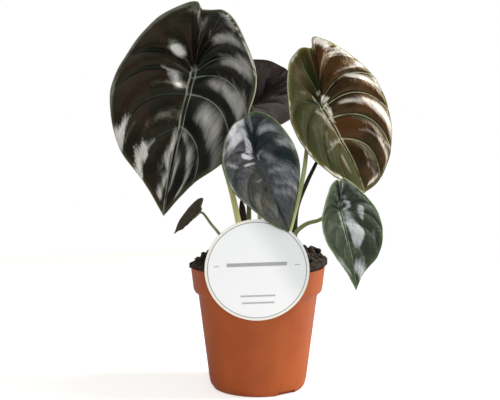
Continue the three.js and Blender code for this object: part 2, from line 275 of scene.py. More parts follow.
terracotta = finish("terracotta_plastic", Roughness=0.5, Specular_IOR_Level=0.25)
streaks = grain(terracotta, 60, stretch=(1, 1, 0.08), detail=4)
clouds = grain(terracotta, 22, detail=3)
pot_tone = tint(ramp(clouds, 0.35, 0.65), (0.320, 0.062, 0.012), (0.370, 0.081, 0.017))
pot_tone = tint(ramp(streaks, 0.5, 0.72, 0, 0.3), pot_tone, (0.42, 0.115, 0.030))
peel = grain(terracotta, 900, detail=1) + streaks * 1.5
wear(terracotta, pot_tone, ramp(clouds, 0.3, 0.7, 0.44, 0.58), peel, 0.00012)

pot_points, pot_faces = turned(rounded(POT_PROFILE, POT_ROUNDING), POT_SIDES)
pot = solid("nursery_pot", pot_points, [pot_faces], terracotta)


def round_the_base(count, first, ring):
    """The angle and the place, in metres, of each cutter on a ring of that radius in the base."""
    for step in range(count):
        angle = math.radians(first + 360 * step / count)
        yield angle, (ring / 1000 * math.cos(angle), ring / 1000 * math.sin(angle), 0)


# The hole cutters are twisted a little, so that none of their edges falls on one of the pot's.
cutters = []
for _, place in round_the_base(**DRAIN_HOLES):
    bpy.ops.mesh.primitive_cylinder_add(
        vertices=HOLE["sides"], radius=HOLE["radius"] / 1000, depth=HOLE["deep"] / 1000,
        location=place, rotation=(0, 0, HOLE["twist"]))
    cutters.append(bpy.context.object)
for angle, place in round_the_base(**DRAIN_NOTCHES):
    bpy.ops.mesh.primitive_cube_add(
        size=1, location=place, rotation=(0, 0, angle),
        scale=(NOTCH["deep"] / 1000, NOTCH["width"] / 1000, 2 * NOTCH["high"] / 1000))
    bpy.ops.object.transform_apply(location=False, rotation=False, scale=True)
    bevel = bpy.context.object.modifiers.new("soft_corners", "BEVEL")
    bevel.width = NOTCH["round"] / 1000
    bevel.segments = 3
    cutters.append(bpy.context.object)
for cutter in cutters:
    cut = pot.modifiers.new("cut", "BOOLEAN")
    cut.operation = "DIFFERENCE"
    cut.solver = "EXACT"
    cut.object = cutter
cut_mesh = bpy.data.meshes.new_from_object(pot.evaluated_get(bpy.context.evaluated_depsgraph_get()))
pot.modifiers.clear()
pot.data = cut_mesh
pot.data.set_sharp_from_angle(angle=math.radians(POT_CRISP))
for cutter in cutters:
    bpy.data.objects.remove(cutter)
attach(pot, "root")
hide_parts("pot")

# ---------------------------------------------------------------- potting soil
# A damp mix of peat and bark, mounded over the rim: one lumpy body whose ragged edge hangs over
# the rim at both sides, with loose crumbs and bark chips lying on it.

SOIL_EDGE = 57
SOIL_CROWN = 116.6
SOIL_TILT = 0.045
SOIL_DROP = 6.5
SOIL_RINGS = 100
SOIL_SIDES = 300
CLODS = {"count": 110, "spread": 61, "smallest": 5, "largest": 9, "highest": 6,
         "seeds": (12.9898, 78.233)}
GRIT = {"count": 1100, "spread": 60, "smallest": 0.9, "largest": 2.6, "highest": 1.5,
        "seeds": (4.1414, 9.871)}
OVERHANG = {"inner": 40, "least": 0.035, "ragged": 0.04, "front": 0.9, "back": 0.72, "sags": 0.9}
GOLDEN_ANGLE = 2.39996
OVER_RIM = POT_HEIGHT + 0.35


def chances(count, *seeds, factor=43758.5453):
    """For each seed, count numbers between 0 and 1: the fraction left of factor times the sine
    of seed times 1, 2, 3 and so on."""
    index = np.arange(1, count + 1)
    return [np.abs(np.sin(seed * index) * factor) % 1 for seed in seeds]


def domes(x, y, count, spread, smallest, largest, highest, seeds):
    """The highest of many low domes set out like sunflower seeds: each falls away with the
    square of the distance from its middle."""
    index = np.arange(count)
    chance, = chances(count, seeds[0])
    other, = chances(count, seeds[1], factor=12543.853)
    ring = spread * np.sqrt((index + 0.3 + 0.6 * chance) / count)
    angle = GOLDEN_ANGLE * index + 0.5 * other
    size = smallest + (largest - smallest) * other
    away = np.hypot(x[:, None] - ring * np.cos(angle), y[:, None] - ring * np.sin(angle)) / size
    return np.maximum(0, highest * (0.45 + 0.55 * chance) * (1 - away ** 2)).max(axis=1)


def soil_height(x, y):
    """Height of the soil over the pot's base: the crown, a little higher towards +x, less a drop
    that grows with the eighth power of the radius, plus clods and the grit on their backs, which
    flatten out at the edge."""
    outermost = (np.hypot(x, y) / (SOIL_EDGE + 1)) ** 8
    lumps = domes(x, y, **CLODS) + domes(x, y, **GRIT)
    return SOIL_CROWN + SOIL_TILT * x - SOIL_DROP * outermost + lumps * (1 - 0.7 * outermost)


def measured(material, *names):
    """The piece's own measures of those names, as tones."""
    return [put(material.node_tree, "Attribute", {}, out="Fac", attribute_name=name) for name in names]


def soil_finish(name, dark, light):
    """Damp soil: dark between the crumbs, browner and drier on each crumb's back, with the tone
    of each crumb from its own measure."""
    material = finish(name, Roughness=0.9, Specular_IOR_Level=0.25)
    own, = measured(material, "tone")
    fine = grain(material, 700, detail=5, rough=0.65)
    coarse = grain(material, 150, detail=4)
    colour = tint(ramp(fine * 0.7 + own * 0.6, 0.48, 0.98), dark, light)
    colour = tint(ramp(coarse, 0.5, 0.75, 0, 0.5), colour, dark)
    wear(material, colour, ramp(fine, 0.35, 0.65, 0.98, 0.7), fine + coarse, 0.0012)
    return material


# The body's profile goes up inside the pot's wall and just over its rim, then in over the top.
skirt = [
    [0, 2.55], [38.5, 2.55], [41.5, 10], [50.7, 82], [55.3, 90], [SOIL_EDGE, POT_HEIGHT - 1],
    [SOIL_EDGE, OVER_RIM], [SOIL_EDGE + 1, OVER_RIM + 1.5],
]
top_rings = np.linspace(1, 0, SOIL_RINGS)[:, None] * [SOIL_EDGE + 1, 0] + [0, SOIL_CROWN]
soil_points, soil_faces = turned(np.vstack([skirt, top_rings]), SOIL_SIDES)
east, north, level = soil_points.T
radius, bearing = np.hypot(east, north), np.arctan2(north, east)
on_top = level > OVER_RIM + 2
over_rim = level > OVER_RIM + 1
# The edge is ragged, in 17 waves round the pot and 41 finer ones that come and go, and it is
# pushed outwards at the two sides.
ragged = 0.5 + 0.25 * np.sin(17 * bearing + 1) + 0.25 * np.sin(41 * bearing) * np.sin(7 * bearing)
starts = np.where(north < 0, OVERHANG["front"], OVERHANG["back"])
sideways = np.maximum(0, np.abs(east) / np.maximum(radius, 1) - starts) / (1 - starts)
edge = np.clip((radius - OVERHANG["inner"]) / (SOIL_EDGE - OVERHANG["inner"]), 0, 1)
outwards = (OVERHANG["least"] + OVERHANG["ragged"] * ragged) * sideways * edge ** 2 * (3 - 2 * edge)
level = np.where(on_top, soil_height(east, north), level - OVERHANG["sags"] * ragged * (over_rim & ~on_top))
east, north = east * (1 + outwards * over_rim), north * (1 + outwards * over_rim)
soil = solid("soil_mound", np.stack([east, north, level], axis=1), [soil_faces],
             soil_finish("damp_soil", (0.0055, 0.0042, 0.003), (0.085, 0.060, 0.040)),
             {"tone": 0.5 + 0.3 * np.sin(0.9 * east) * np.sin(1.1 * north)})
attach(soil, "root")
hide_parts("potting_soil")


def crumb_cloud(name, count, smallest, largest, seeds, material):
    """Loose crumbs: a ball of 80 small faces for each, pulled about by sines of its own corners
    and sunk a little into the soil where it lies."""
    bpy.ops.mesh.primitive_ico_sphere_add(subdivisions=2, radius=1)
    ball = bpy.context.object
    shape = np.array([corner.co for corner in ball.data.vertices])
    facets = np.array([list(face.vertices) for face in ball.data.polygons])
    bpy.data.objects.remove(ball)
    a, b, c, d, e = chances(count, *seeds)
    size = smallest + (largest - smallest) * a ** 3
    ring, angle = SOIL_EDGE * np.sqrt(b), 2 * np.pi * c
    x, y = ring * np.cos(angle), ring * np.sin(angle)
    spin = 2 * np.pi * np.stack([d, e, a], axis=1)
    pull = np.array([[1, 0.3, 0.2], [0.1, 1, 0.4], [0.5, 0.2, 1]])
    lumps = 1 + 0.22 * np.sin(3.1 * shape @ pull + spin[:, None])
    body = shape * lumps * np.stack([1 + 0.5 * d, 1 - 0.25 * e, 0.75 + 0.3 * b], axis=1)[:, None]
    cos, sin = np.cos(spin[:, 0])[:, None], np.sin(spin[:, 0])[:, None]
    east = body[..., 0] * cos - body[..., 1] * sin
    north = body[..., 0] * sin + body[..., 1] * cos
    up = body[..., 2] + 0.35 * east * np.sin(spin[:, 1])[:, None]
    middle = np.stack([x, y, soil_height(x, y) + 0.2 * size], axis=1)[:, None]
    points = middle + size[:, None, None] * np.stack([east, north, up], axis=-1)
    faces = facets + len(shape) * np.arange(count)[:, None, None]
    tone = np.repeat(e, len(shape))
    return solid(name, points.reshape(-1, 3), [faces.reshape(-1, 3)], material, {"tone": tone}, merge=0)


bark = soil_finish("bark_crumbs", (0.0070, 0.0048, 0.0035), (0.12, 0.082, 0.056))
for name, count, smallest, largest, seeds in (
    ("bark_crumbs", 420, 0.9, 3.6, (5.123, 7.77, 3.331, 9.19, 2.718)),
    ("fine_crumbs", 700, 0.5, 1.3, (6.283, 8.81, 4.669, 1.618, 3.142)),
    ("bark_chips", 90, 1.8, 4.6, (3.77, 5.551, 8.123, 2.414, 6.87)),
):
    crumbs = crumb_cloud(name, count, smallest, largest, seeds, bark)
    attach(crumbs, "root")

# ---------------------------------------------------------------- plant label
# A round card of glossy coated plastic with one thin printed ring and plain rules. Its tongue
# hooks over the rim and stands in the soil.

LABEL = {"radius": 43.5, "thick": 0.8, "round": 0.3, "lean": 6.8, "turn": -2,
         "centre": (-1.2, -61.0, 113.5), "sides": 192, "crisp": 50}
TONGUE = {"width": 14, "thick": 0.8, "over": 109.0, "inside": -56.6, "foot": (-48.5, 78)}
# A rule of print has a place, a length, a thickness and a darkness.
PRINT = {"ring": 41.0, "ring_half": (0.42, 0.2), "soft": 0.12, "rules": (
    (-33.5, 4.4, 4.2, 0.7, 0.8), (33.5, 4.0, 4.2, 0.7, 0.8), (0, 5.2, 50, 3.2, 0.8),
    (0, -21.9, 29, 1.5, 0.7), (0, -27.9, 27, 1.5, 0.7))}
BEYOND_PRINT = 60.0


def turn_about(axis, degrees):
    """The matrix that turns a point about x, y or z (0, 1 or 2) by the right-hand rule."""
    cos, sin = math.cos(math.radians(degrees)), math.sin(math.radians(degrees))
    matrix = np.eye(3)
    first, second = (axis + 1) % 3, (axis + 2) % 3
    matrix[first, first] = matrix[second, second] = cos
    matrix[second, first], matrix[first, second] = sin, -sin
    return matrix


half = LABEL["thick"] / 2
card_profile = [[0, -half], [LABEL["radius"], -half], [LABEL["radius"], half], [0, half]]
card_points, card_faces = turned(rounded(card_profile, LABEL["round"]), LABEL["sides"])
lay_flat = turn_about(0, LABEL["lean"]) @ turn_about(1, LABEL["turn"]) @ turn_about(0, 90)
across, upward, through = card_points.T
card_points = card_points @ lay_flat.T + LABEL["centre"]

foot_y, foot_z = TONGUE["foot"]
front, top = LABEL["centre"][1] + 0.2, TONGUE["over"] + TONGUE["thick"]
outline = np.array([
    [front, TONGUE["over"]], [TONGUE["inside"], TONGUE["over"]], [foot_y, foot_z],
    [foot_y + TONGUE["thick"], foot_z], [TONGUE["inside"] + TONGUE["thick"], top], [front, top],
])
strap = np.array([[x, y, z] for x in (-TONGUE["width"] / 2, TONGUE["width"] / 2) for y, z in outline])
loop = np.arange(6)
walls = np.stack([(loop + 1) % 6, (loop + 1) % 6 + 6, loop + 6, loop], axis=1) + len(card_points)
caps = np.array([[5, 4, 1, 0], [4, 3, 2, 1], [6, 7, 10, 11], [7, 8, 9, 10]]) + len(card_points)
unprinted = np.full(len(strap), BEYOND_PRINT)

card = finish("coated_card", Roughness=0.22, Specular_IOR_Level=0.5, Coat_Weight=0.35, Coat_Roughness=0.08)
east, north, front_side = measured(card, "east", "north", "printed")
from_middle = (east.sum("POWER", 2) + north.sum("POWER", 2)).sum("SQRT")


def rule(at_east, at_north, long, thick):
    """1 inside a printed rule of that length and thickness in millimetres, 0 outside it."""
    soft = PRINT["soft"]
    sidewards = ramp(abs(east - at_east), long / 2 + soft, long / 2 - soft)
    return sidewards * ramp(abs(north - at_north), thick / 2 + soft, thick / 2 - soft)


# Bluish white, warmer outside the ring, in faint clouds, and greyer towards the upper right, where shade is
# painted across the card.
paper = tint(ramp(from_middle, 40.6, 41.4), (0.90, 0.92, 0.95), (0.86, 0.84, 0.78))
paper = tint(ramp(grain(card, 12, detail=1), 0.45, 0.6, 0, 0.35), paper, (0.85, 0.88, 0.93))
paper = tint(ramp(east + north * 0.55, 8, 34, 0, 0.75), paper, (0.66, 0.70, 0.71))
ink = ramp(abs(from_middle - PRINT["ring"]), *PRINT["ring_half"])
for *place_and_size, dark in PRINT["rules"]:
    ink = ink.sum("MAXIMUM", rule(*place_and_size) * dark)
paper = tint(ink * front_side * 0.8, paper, (0.06, 0.07, 0.08))
wear(card, paper, None, grain(card, 500, detail=2), 0.00003)

label = solid(
    "round_label", np.vstack([card_points, strap]), [card_faces, walls, caps], card,
    {"east": np.r_[across, unprinted], "north": np.r_[upward, unprinted],
     "printed": np.r_[through > 0, np.zeros(len(strap))]})
label.data.set_sharp_from_angle(angle=math.radians(LABEL["crisp"]))
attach(label, "root")
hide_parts("plant_label")

# ---------------------------------------------------------------- leaf stalks
# Each leaf stands on one round, smooth stalk that rises out of the soil, tapers upwards and turns
# to meet the back of its blade, where it flares out and grows into the ribs.

BLADE_THICK = 0.9
# A stalk stands in its hole in the soil from its foot to its mouth. It turns in behind the blade
# at its neck, and its end goes a little way into the blade's back.
STALK_FOOT, STALK_MOUTH = 92, 118
STALK_NECK = 9
STALK_BITE = 0.3

# A leaf's blade hangs on its stalk at top, from where it faces round, lifts its face and swings
# its tip by so many degrees. Along and across from there lie its tip, its notch and the margin
# points of its left and right half. Half is its usual reach to each side. Fold, arch, droop, tuck
# and quilt say how it folds up, arches over, droops to the tip, bends back at the lobes and
# swells between its ribs, and crisp how clear the ribs are on the left and the right. The stalk
# stands at a place in the soil, goes through its points and tapers between its two radii.
LEAVES = {
    "leaf_left": {
        "top": (-55.4, -12, 277.4), "faces": -20, "lifts": 14, "swings": 9.7,
        "tip": 125, "notch": (-57, -7), "half": 65, "fold": 0.42, "arch": 0.18, "droop": 10,
        "tuck": 2, "quilt": 5.0, "crisp": (0.45, 1),
        "left": [(-62, -17), (-38, -44), (1, -62), (35, -66), (75, -49), (101, -21)],
        "right": [(-58, 14), (-42, 36), (-4, 63), (33, 64), (67, 55), (95, 25)],
        "stands": (-12, 2), "stalk": [(-17, 1, 146), (-24, 1, 177), (-39, 0, 227), (-48, 2, 258)],
        "stalk_radius": (3.0, 1.7),
    },
    "leaf_copper": {
        "top": (55.5, 8, 249.1), "faces": 34, "lifts": 18, "swings": -28.3,
        "tip": 88, "notch": (-47, 22), "half": 56, "fold": 0.45, "arch": 0.18, "droop": 12,
        "quilt": 4.2, "crisp": (0.3, 0.9),
        "left": [(-52, 10), (-37, -21), (-5, -49), (26, -51), (55, -35), (73, -18)],
        "right": [(-54, 30), (-34, 45), (4, 60), (38, 56), (69, 40), (86, 18)],
        "stands": (22, 4), "stalk": [(28, 5, 139), (34, 8, 161), (41, 13, 190), (46, 18, 228)],
        "stalk_radius": (2.9, 1.5),
    },
    "leaf_front": {
        "top": (-2.5, -64, 208.4), "faces": 5, "lifts": 14, "swings": -23.3,
        "tip": 67.5, "notch": (-33, 4), "half": 32, "fold": 0.42, "arch": 0.12, "droop": 7,
        "quilt": 1.8, "crisp": (0.35, 0.5),
        "left": [(-31, -6), (-20, -19), (-2, -29), (20, -30), (42, -20), (57, -11)],
        "right": [(-33, 15), (-22, 25), (0, 31), (20, 29.5), (38, 21), (53, 11)],
        "stands": (4, -6), "stalk": [(2, -12, 149), (1, -22, 169), (-1, -42, 193)],
        "stalk_radius": (2.8, 1.5),
    },
    "leaf_right": {
        "top": (68.5, -46, 161.8), "faces": 38, "lifts": 14, "swings": -7.8,
        "tip": 68, "notch": (-24, 7), "half": 35, "fold": 0.48, "arch": 0.12, "droop": 5,
        "quilt": 1.6, "crisp": (0.4, 0.5),
        "left": [(-25, 3), (-14, -14), (3, -31), (20, -33), (38, -22), (54, -8.5)],
        "right": [(-25, 12), (-12, 22), (8, 32), (28, 32), (45, 24), (56, 9)],
        "stands": (28, -6), "stalk": [(32, -10, 137), (41, -18, 147), (52, -29, 152)],
        "stalk_radius": (2.4, 1.4),
    },
    "leaf_back": {
        "top": (-6, 42, 251.4), "faces": 190, "lifts": 54, "swings": -38,
        "tip": 92, "notch": (-47, 2), "half": 55, "fold": 0.25, "arch": 0.12, "droop": 8,
        "quilt": 3.0, "crisp": (0.6, 0.6),
        "left": [(-52, -9), (-39, -34), (-6, -54), (24, -50), (50, -38), (72, -20)],
        "right": [(-54, 12), (-45, 36), (-12, 57), (22, 55), (50, 41), (73, 20)],
        "stands": (-9, 14), "stalk": [(-8, 16, 148), (-8, 22, 190), (-7, 31, 230)],
        "stalk_radius": (2.6, 1.4),
    },
    "leaf_young": {
        "top": (-55.2, -8, 156.9), "faces": -45, "lifts": 10, "swings": 51.2,
        "tip": 34, "notch": (-8, 0), "half": 9, "fold": 0.3, "arch": 0.1, "droop": 2,
        "quilt": 0.5, "crisp": (0.5, 0.5),
        "left": [(-14, -4.6), (-8, -7.4), (3, -7.5), (12, -6.2), (20, -4.5), (28, -2.2)],
        "right": [(-8, 2.6), (-4, 4.6), (3, 4.6), (11, 3.4), (19, 2.2), (27, 0.9)],
        "stands": (-23, -4), "stalk": [(-33, -7, 136), (-41, -7, 146)],
        "stalk_radius": (1.8, 1.0),
    },
}


def curve_through(path, count):
    """A smooth curve through the path, cut into count equal lengths, and its length. Between two
    points it is the cubic whose end slopes weigh the neighbours by the square root of their
    distances, worked out at 60 places and then evened out."""
    path = np.asarray(path, float)
    knots = np.vstack([2 * path[0] - path[1], path, 2 * path[-1] - path[-2]])
    gaps = np.sqrt(np.linalg.norm(np.diff(knots, axis=0), axis=1))[:, None]
    a, b, c, d = knots[:-3], knots[1:-2], knots[2:-1], knots[3:]
    before, here, after = gaps[:-2], gaps[1:-1], gaps[2:]
    slope = ((b - a) / before - (c - a) / (before + here) + (c - b) / here) * here
    arrive = ((c - b) / here - (d - b) / (here + after) + (d - c) / after) * here
    t = np.linspace(0, 1, 60, endpoint=False)[None, :, None]
    cubic = (b[:, None] + slope[:, None] * t
             + (3 * (c - b) - 2 * slope - arrive)[:, None] * t ** 2
             + (2 * (b - c) + slope + arrive)[:, None] * t ** 3)
    dense = np.vstack([cubic.reshape(-1, 3), path[-1:]])
    walked = np.r_[0, np.cumsum(np.linalg.norm(np.diff(dense, axis=0), axis=1))]
    even = np.linspace(0, walked[-1], count)
    return np.stack([np.interp(even, walked, dense[:, axis]) for axis in range(3)], axis=1), walked[-1]


def stem(path, radii, flat=1.0, steps=90, sides=24, ridge=0.04):
    """Points, faces and measures of a round stem: a ring of points about each place along the
    curve, at right angles to it, of the radius given for that share of its length, with faint
    lengthwise ridges. The ends close on their middles."""
    middle, length = curve_through(path, steps)
    ahead = np.gradient(middle, axis=0)
    ahead /= np.linalg.norm(ahead, axis=1, keepdims=True)
    first = np.cross(ahead, [1.0, 0, 0])
    first /= np.linalg.norm(first, axis=1, keepdims=True)
    second = np.cross(ahead, first)
    share = np.linspace(0, 1, steps)
    angle = 2 * np.pi * np.arange(sides) / sides
    radius = np.interp(share, *radii)[:, None] * (1 + ridge * np.sin(5 * angle[None] + 3 * share[:, None]))
    spoke = radius[..., None] * (
        np.cos(angle)[None, :, None] * first[:, None] + np.sin(angle)[None, :, None] * second[:, None])
    spoke[..., 1] *= flat
    rings = (middle[:, None] + spoke).reshape(-1, 3)
    around, last = np.arange(sides), (steps - 1) * sides
    foot = np.stack([np.full(sides, len(rings)), (around + 1) % sides, around], axis=1)
    head = np.stack([np.full(sides, len(rings) + 1), last + around, last + (around + 1) % sides], axis=1)
    measures = {
        "rise": np.r_[np.repeat(share, sides), 0, 1],
        "turn": np.r_[np.tile(angle, steps), 0, 0],
        "walk": np.r_[np.repeat(share * length, sides), 0, length],
    }
    return np.vstack([rings, middle[0], middle[-1]]), [ring_faces(steps, sides), foot, head], measures


def blade_turn(leaf):
    """The matrix that swings the blade's tip sideways, tilts its face up and turns it round."""
    return turn_about(2, leaf["faces"]) @ turn_about(0, -leaf["lifts"]) @ turn_about(1, leaf["swings"])


def fibres_along(material, drawn_out, scale, detail):
    """Noise in lines along a stem: read at the cosine and sine of the turn round it and at the
    walk along it, which counts for little where drawn_out is small."""
    turn, walk = measured(material, "turn", "walk")
    place = put(material.node_tree, "CombineXYZ", {
        0: turn.sum("COSINE"), 1: turn.sum("SINE"), 2: walk * drawn_out})
    return put(material.node_tree, "TexNoise", {"Vector": place, "Scale": scale, "Detail": detail})


def stalk_finish(name, low, high, blush):
    """A waxy living stalk: its colour runs from low at the soil to high at the blade, with
    lengthwise streaks of blush."""
    material = finish(name, Roughness=0.38, Specular_IOR_Level=0.5, Subsurface_Weight=0.15,
                      Subsurface_Scale=0.002)
    rise, = measured(material, "rise")
    lines = fibres_along(material, 0.02, 5.0, 4.0)
    colour = tint(ramp(lines, 0.45, 0.7, 0, 0.35), tint(rise, low, high), blush)
    wear(material, colour, ramp(lines, 0.3, 0.7, 0.3, 0.46), lines, 0.00025)
    return material


STALK_TONES = {
    "leaf_left": ((0.84, 0.88, 0.36), (0.56, 0.62, 0.18), (0.90, 0.90, 0.50)),
    "leaf_copper": ((0.52, 0.60, 0.24), (0.38, 0.43, 0.15), (0.68, 0.70, 0.38)),
    "leaf_front": ((0.90, 0.90, 0.66), (0.44, 0.46, 0.28), (0.92, 0.91, 0.74)),
    "leaf_right": ((0.33, 0.38, 0.14), (0.20, 0.26, 0.10), (0.45, 0.46, 0.22)),
    "leaf_back": ((0.26, 0.34, 0.10), (0.12, 0.11, 0.06), (0.34, 0.40, 0.15)),
    "leaf_young": ((0.30, 0.36, 0.13), (0.15, 0.16, 0.07), (0.38, 0.40, 0.20)),
}
for name, leaf in LEAVES.items():
    facing = blade_turn(leaf) @ [0, -1, 0]
    top = np.array(leaf["top"])
    path = [(*leaf["stands"], STALK_FOOT), (*leaf["stands"], STALK_MOUTH), *leaf["stalk"],
            top - STALK_NECK * facing, top - (BLADE_THICK - STALK_BITE) * facing]
    root, tip = leaf["stalk_radius"]
    # Stout in its hole, thinner all the way up to the blade, and flared out where it meets it.
    taper = ((0, 0.12, 0.3, 0.93, 0.975, 1.0), (
        1.08 * root, 1.05 * root, 0.7 * root + 0.3 * tip, tip, 1.12 * tip, 1.5 * tip))
    points, faces, measures = stem(path, taper)
    skin = stalk_finish(name + "_stalk_skin", *STALK_TONES[name])
    stalk = solid(name + "_petiole", points, faces, skin, measures)
    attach(stalk, "root")
    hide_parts(name + "_stalk")

# ---------------------------------------------------------------- leaf blades
# Thick, stiff, shield-shaped blades. The ribs lie sunk in the upper face and stand proud of the
# lower one, the skin between them swells into glossy quilts, and a pale margin rims each blade.
# Their colour holds painted light: painted highlights on the quilts, ribs, midrib and margin, and
# painted shade near the ribs, in creases and in dark streaks.

VEIN_ROWS = 7
# For the notch, the six ribs of a half and the tip: the share of the way to the tip at which it
# leaves the midrib, and how far it bows.
RIB_START = (0, 0, 0, 0, 0.035, 0.15, 0.38, 0.72)
RIB_BOW = (0, 0.05, 0.3, 0.45, 0.45, 0.45, 0.45, 0)
MIDRIB_ENDS = -3
LIP = 0.35
ROWS_ACROSS = 3.5

# Heights, depths and widths of the relief, for a blade that reaches 60 mm to each side. The others
# have them in proportion.
RELIEF = {
    "midrib": 2.16, "rib": 0.34, "rib_flare": 0.5, "groove_wide": 3.2, "groove_deep": 0.5, "ridge_high": 0.28,
    "channel_deep": 0.5, "shoulder_high": 0.35, "uneven": 0.16, "ripple": 0.02, "ripple_long": 4.4,
    "edge_wave": 0.5, "keel_high": 1.5, "keel_wide": 2.6, "under_rib_high": 0.75,
    "under_rib_wide": 1.3, "under_groove": 0.25,
}


def margin_line(listed, rows):
    """A smooth value between listed ones: half of 2b + (c - a)t + (2a - 5b + 4c - d)t squared
    + (3b - a - 3c + d)t cubed, and straight on at the ends."""
    listed = np.asarray(listed, float)
    padded = np.vstack([2 * listed[0] - listed[1], listed, 2 * listed[-1] - listed[-2]])
    span = np.minimum(rows.astype(int), len(listed) - 2)
    t = (rows - span)[:, None]
    a, b, c, d = (padded[span + step] for step in range(4))
    return 0.5 * (2 * b + (c - a) * t + (2 * a - 5 * b + 4 * c - d) * t ** 2
                  + (3 * b - a - 3 * c + d) * t ** 3)


def blade_form(leaf, side, rows, reach):
    """Along, across and height of the upper face. From the midrib (reach 0) to the margin (1) a
    row follows a bowed line. The height folds up from the midrib, arches over, droops towards
    the tip and swells between the ribs, where row is a whole number on a rib."""
    end = margin_line([leaf["notch"], *leaf["left" if side < 0 else "right"], (leaf["tip"], 0)], rows)
    end_u, end_v = end[:, :1], end[:, 1:]
    ribs = range(VEIN_ROWS + 1)
    start = leaf["tip"] * np.interp(rows, ribs, RIB_START)[:, None]
    bow = np.interp(rows, ribs, RIB_BOW)[:, None]
    bend_u = (start + end_u) / 2 - side * bow * end_v
    bend_v = end_v / 2 + side * bow * (end_u - start)
    u = (1 - reach) ** 2 * start + 2 * reach * (1 - reach) * bend_u + reach ** 2 * end_u
    v = 2 * reach * (1 - reach) * bend_v + reach ** 2 * end_v
    fold_round = 4
    out = np.sqrt(v * v + fold_round ** 2) - fold_round
    ahead, behind = np.maximum(u, 0) / leaf["tip"], np.maximum(-u, 0) / (leaf["tip"] / 2)
    crease, steep = 0.004, 0.35
    swell = (((np.sin(np.pi * rows) ** 2 + crease) ** steep - crease ** steep)
             / ((1 + crease) ** steep - crease ** steep))[:, None]
    bulge = swell * np.sin(np.pi * reach ** 0.8) ** 0.8
    height = (leaf["fold"] * out - leaf["arch"] * out ** 2 / leaf["half"]
              - leaf["droop"] * ahead ** 2 - leaf.get("tuck", 0) * behind ** 2 + leaf["quilt"] * bulge)
    return u, v, height, bulge


def painted_light_on(streaks, rows, reach):
    """How strongly painted streaks lie on the skin, from 0 to 1, and how frayed: the highest of the
    streaks. Both the painted highlights and the painted shade are laid out this way. A streak runs
    along the line from its first reach and row to its second, where the whole reach counts as
    ROWS_ACROSS rows. Beyond its half width it fades out over its soft edge, four times as fast on
    the side of the next rib, where the quilt turns away. It frays half way through that edge, and a
    crisp one has a finely combed outline."""
    lit = np.zeros((len(rows), reach.shape[1]))
    frayed = np.zeros_like(lit)
    row = rows[:, None]
    for reach_a, row_a, reach_b, row_b, wide_a, wide_b, soft, strength in streaks:
        over, down = ROWS_ACROSS * (reach_b - reach_a), row_b - row_a
        out, along = ROWS_ACROSS * (reach - reach_a), row - row_a
        t = np.clip((out * over + along * down) / (over * over + down * down), 0, 1)
        comb = min(1, 0.12 / soft) ** 2 * (0.11 * np.abs(np.sin(70 * reach + 15 * row)) - 0.05)
        wobble = 0.05 * np.sin(11 * reach + 5 * row) + 0.04 * np.sin(23 * reach - 9 * row) + comb
        away = np.hypot(out - t * over, along - t * down) + wobble * min(1, 4 * wide_b + 4 * wide_a)
        wide = wide_a + (wide_b - wide_a) * t
        below = (along * over - out * down) * np.sign(over) / np.hypot(over, down)
        fade = (np.clip(0.5 + (wide - away) / (1.5 * soft), 0, 1)
                * np.clip(0.5 + (wide - below) / (0.38 * soft), 0, 1))
        frayed = np.where(strength * fade > lit, 4 * strength * fade * (1 - fade), frayed)
        lit = np.maximum(lit, strength * fade)
    return lit, frayed


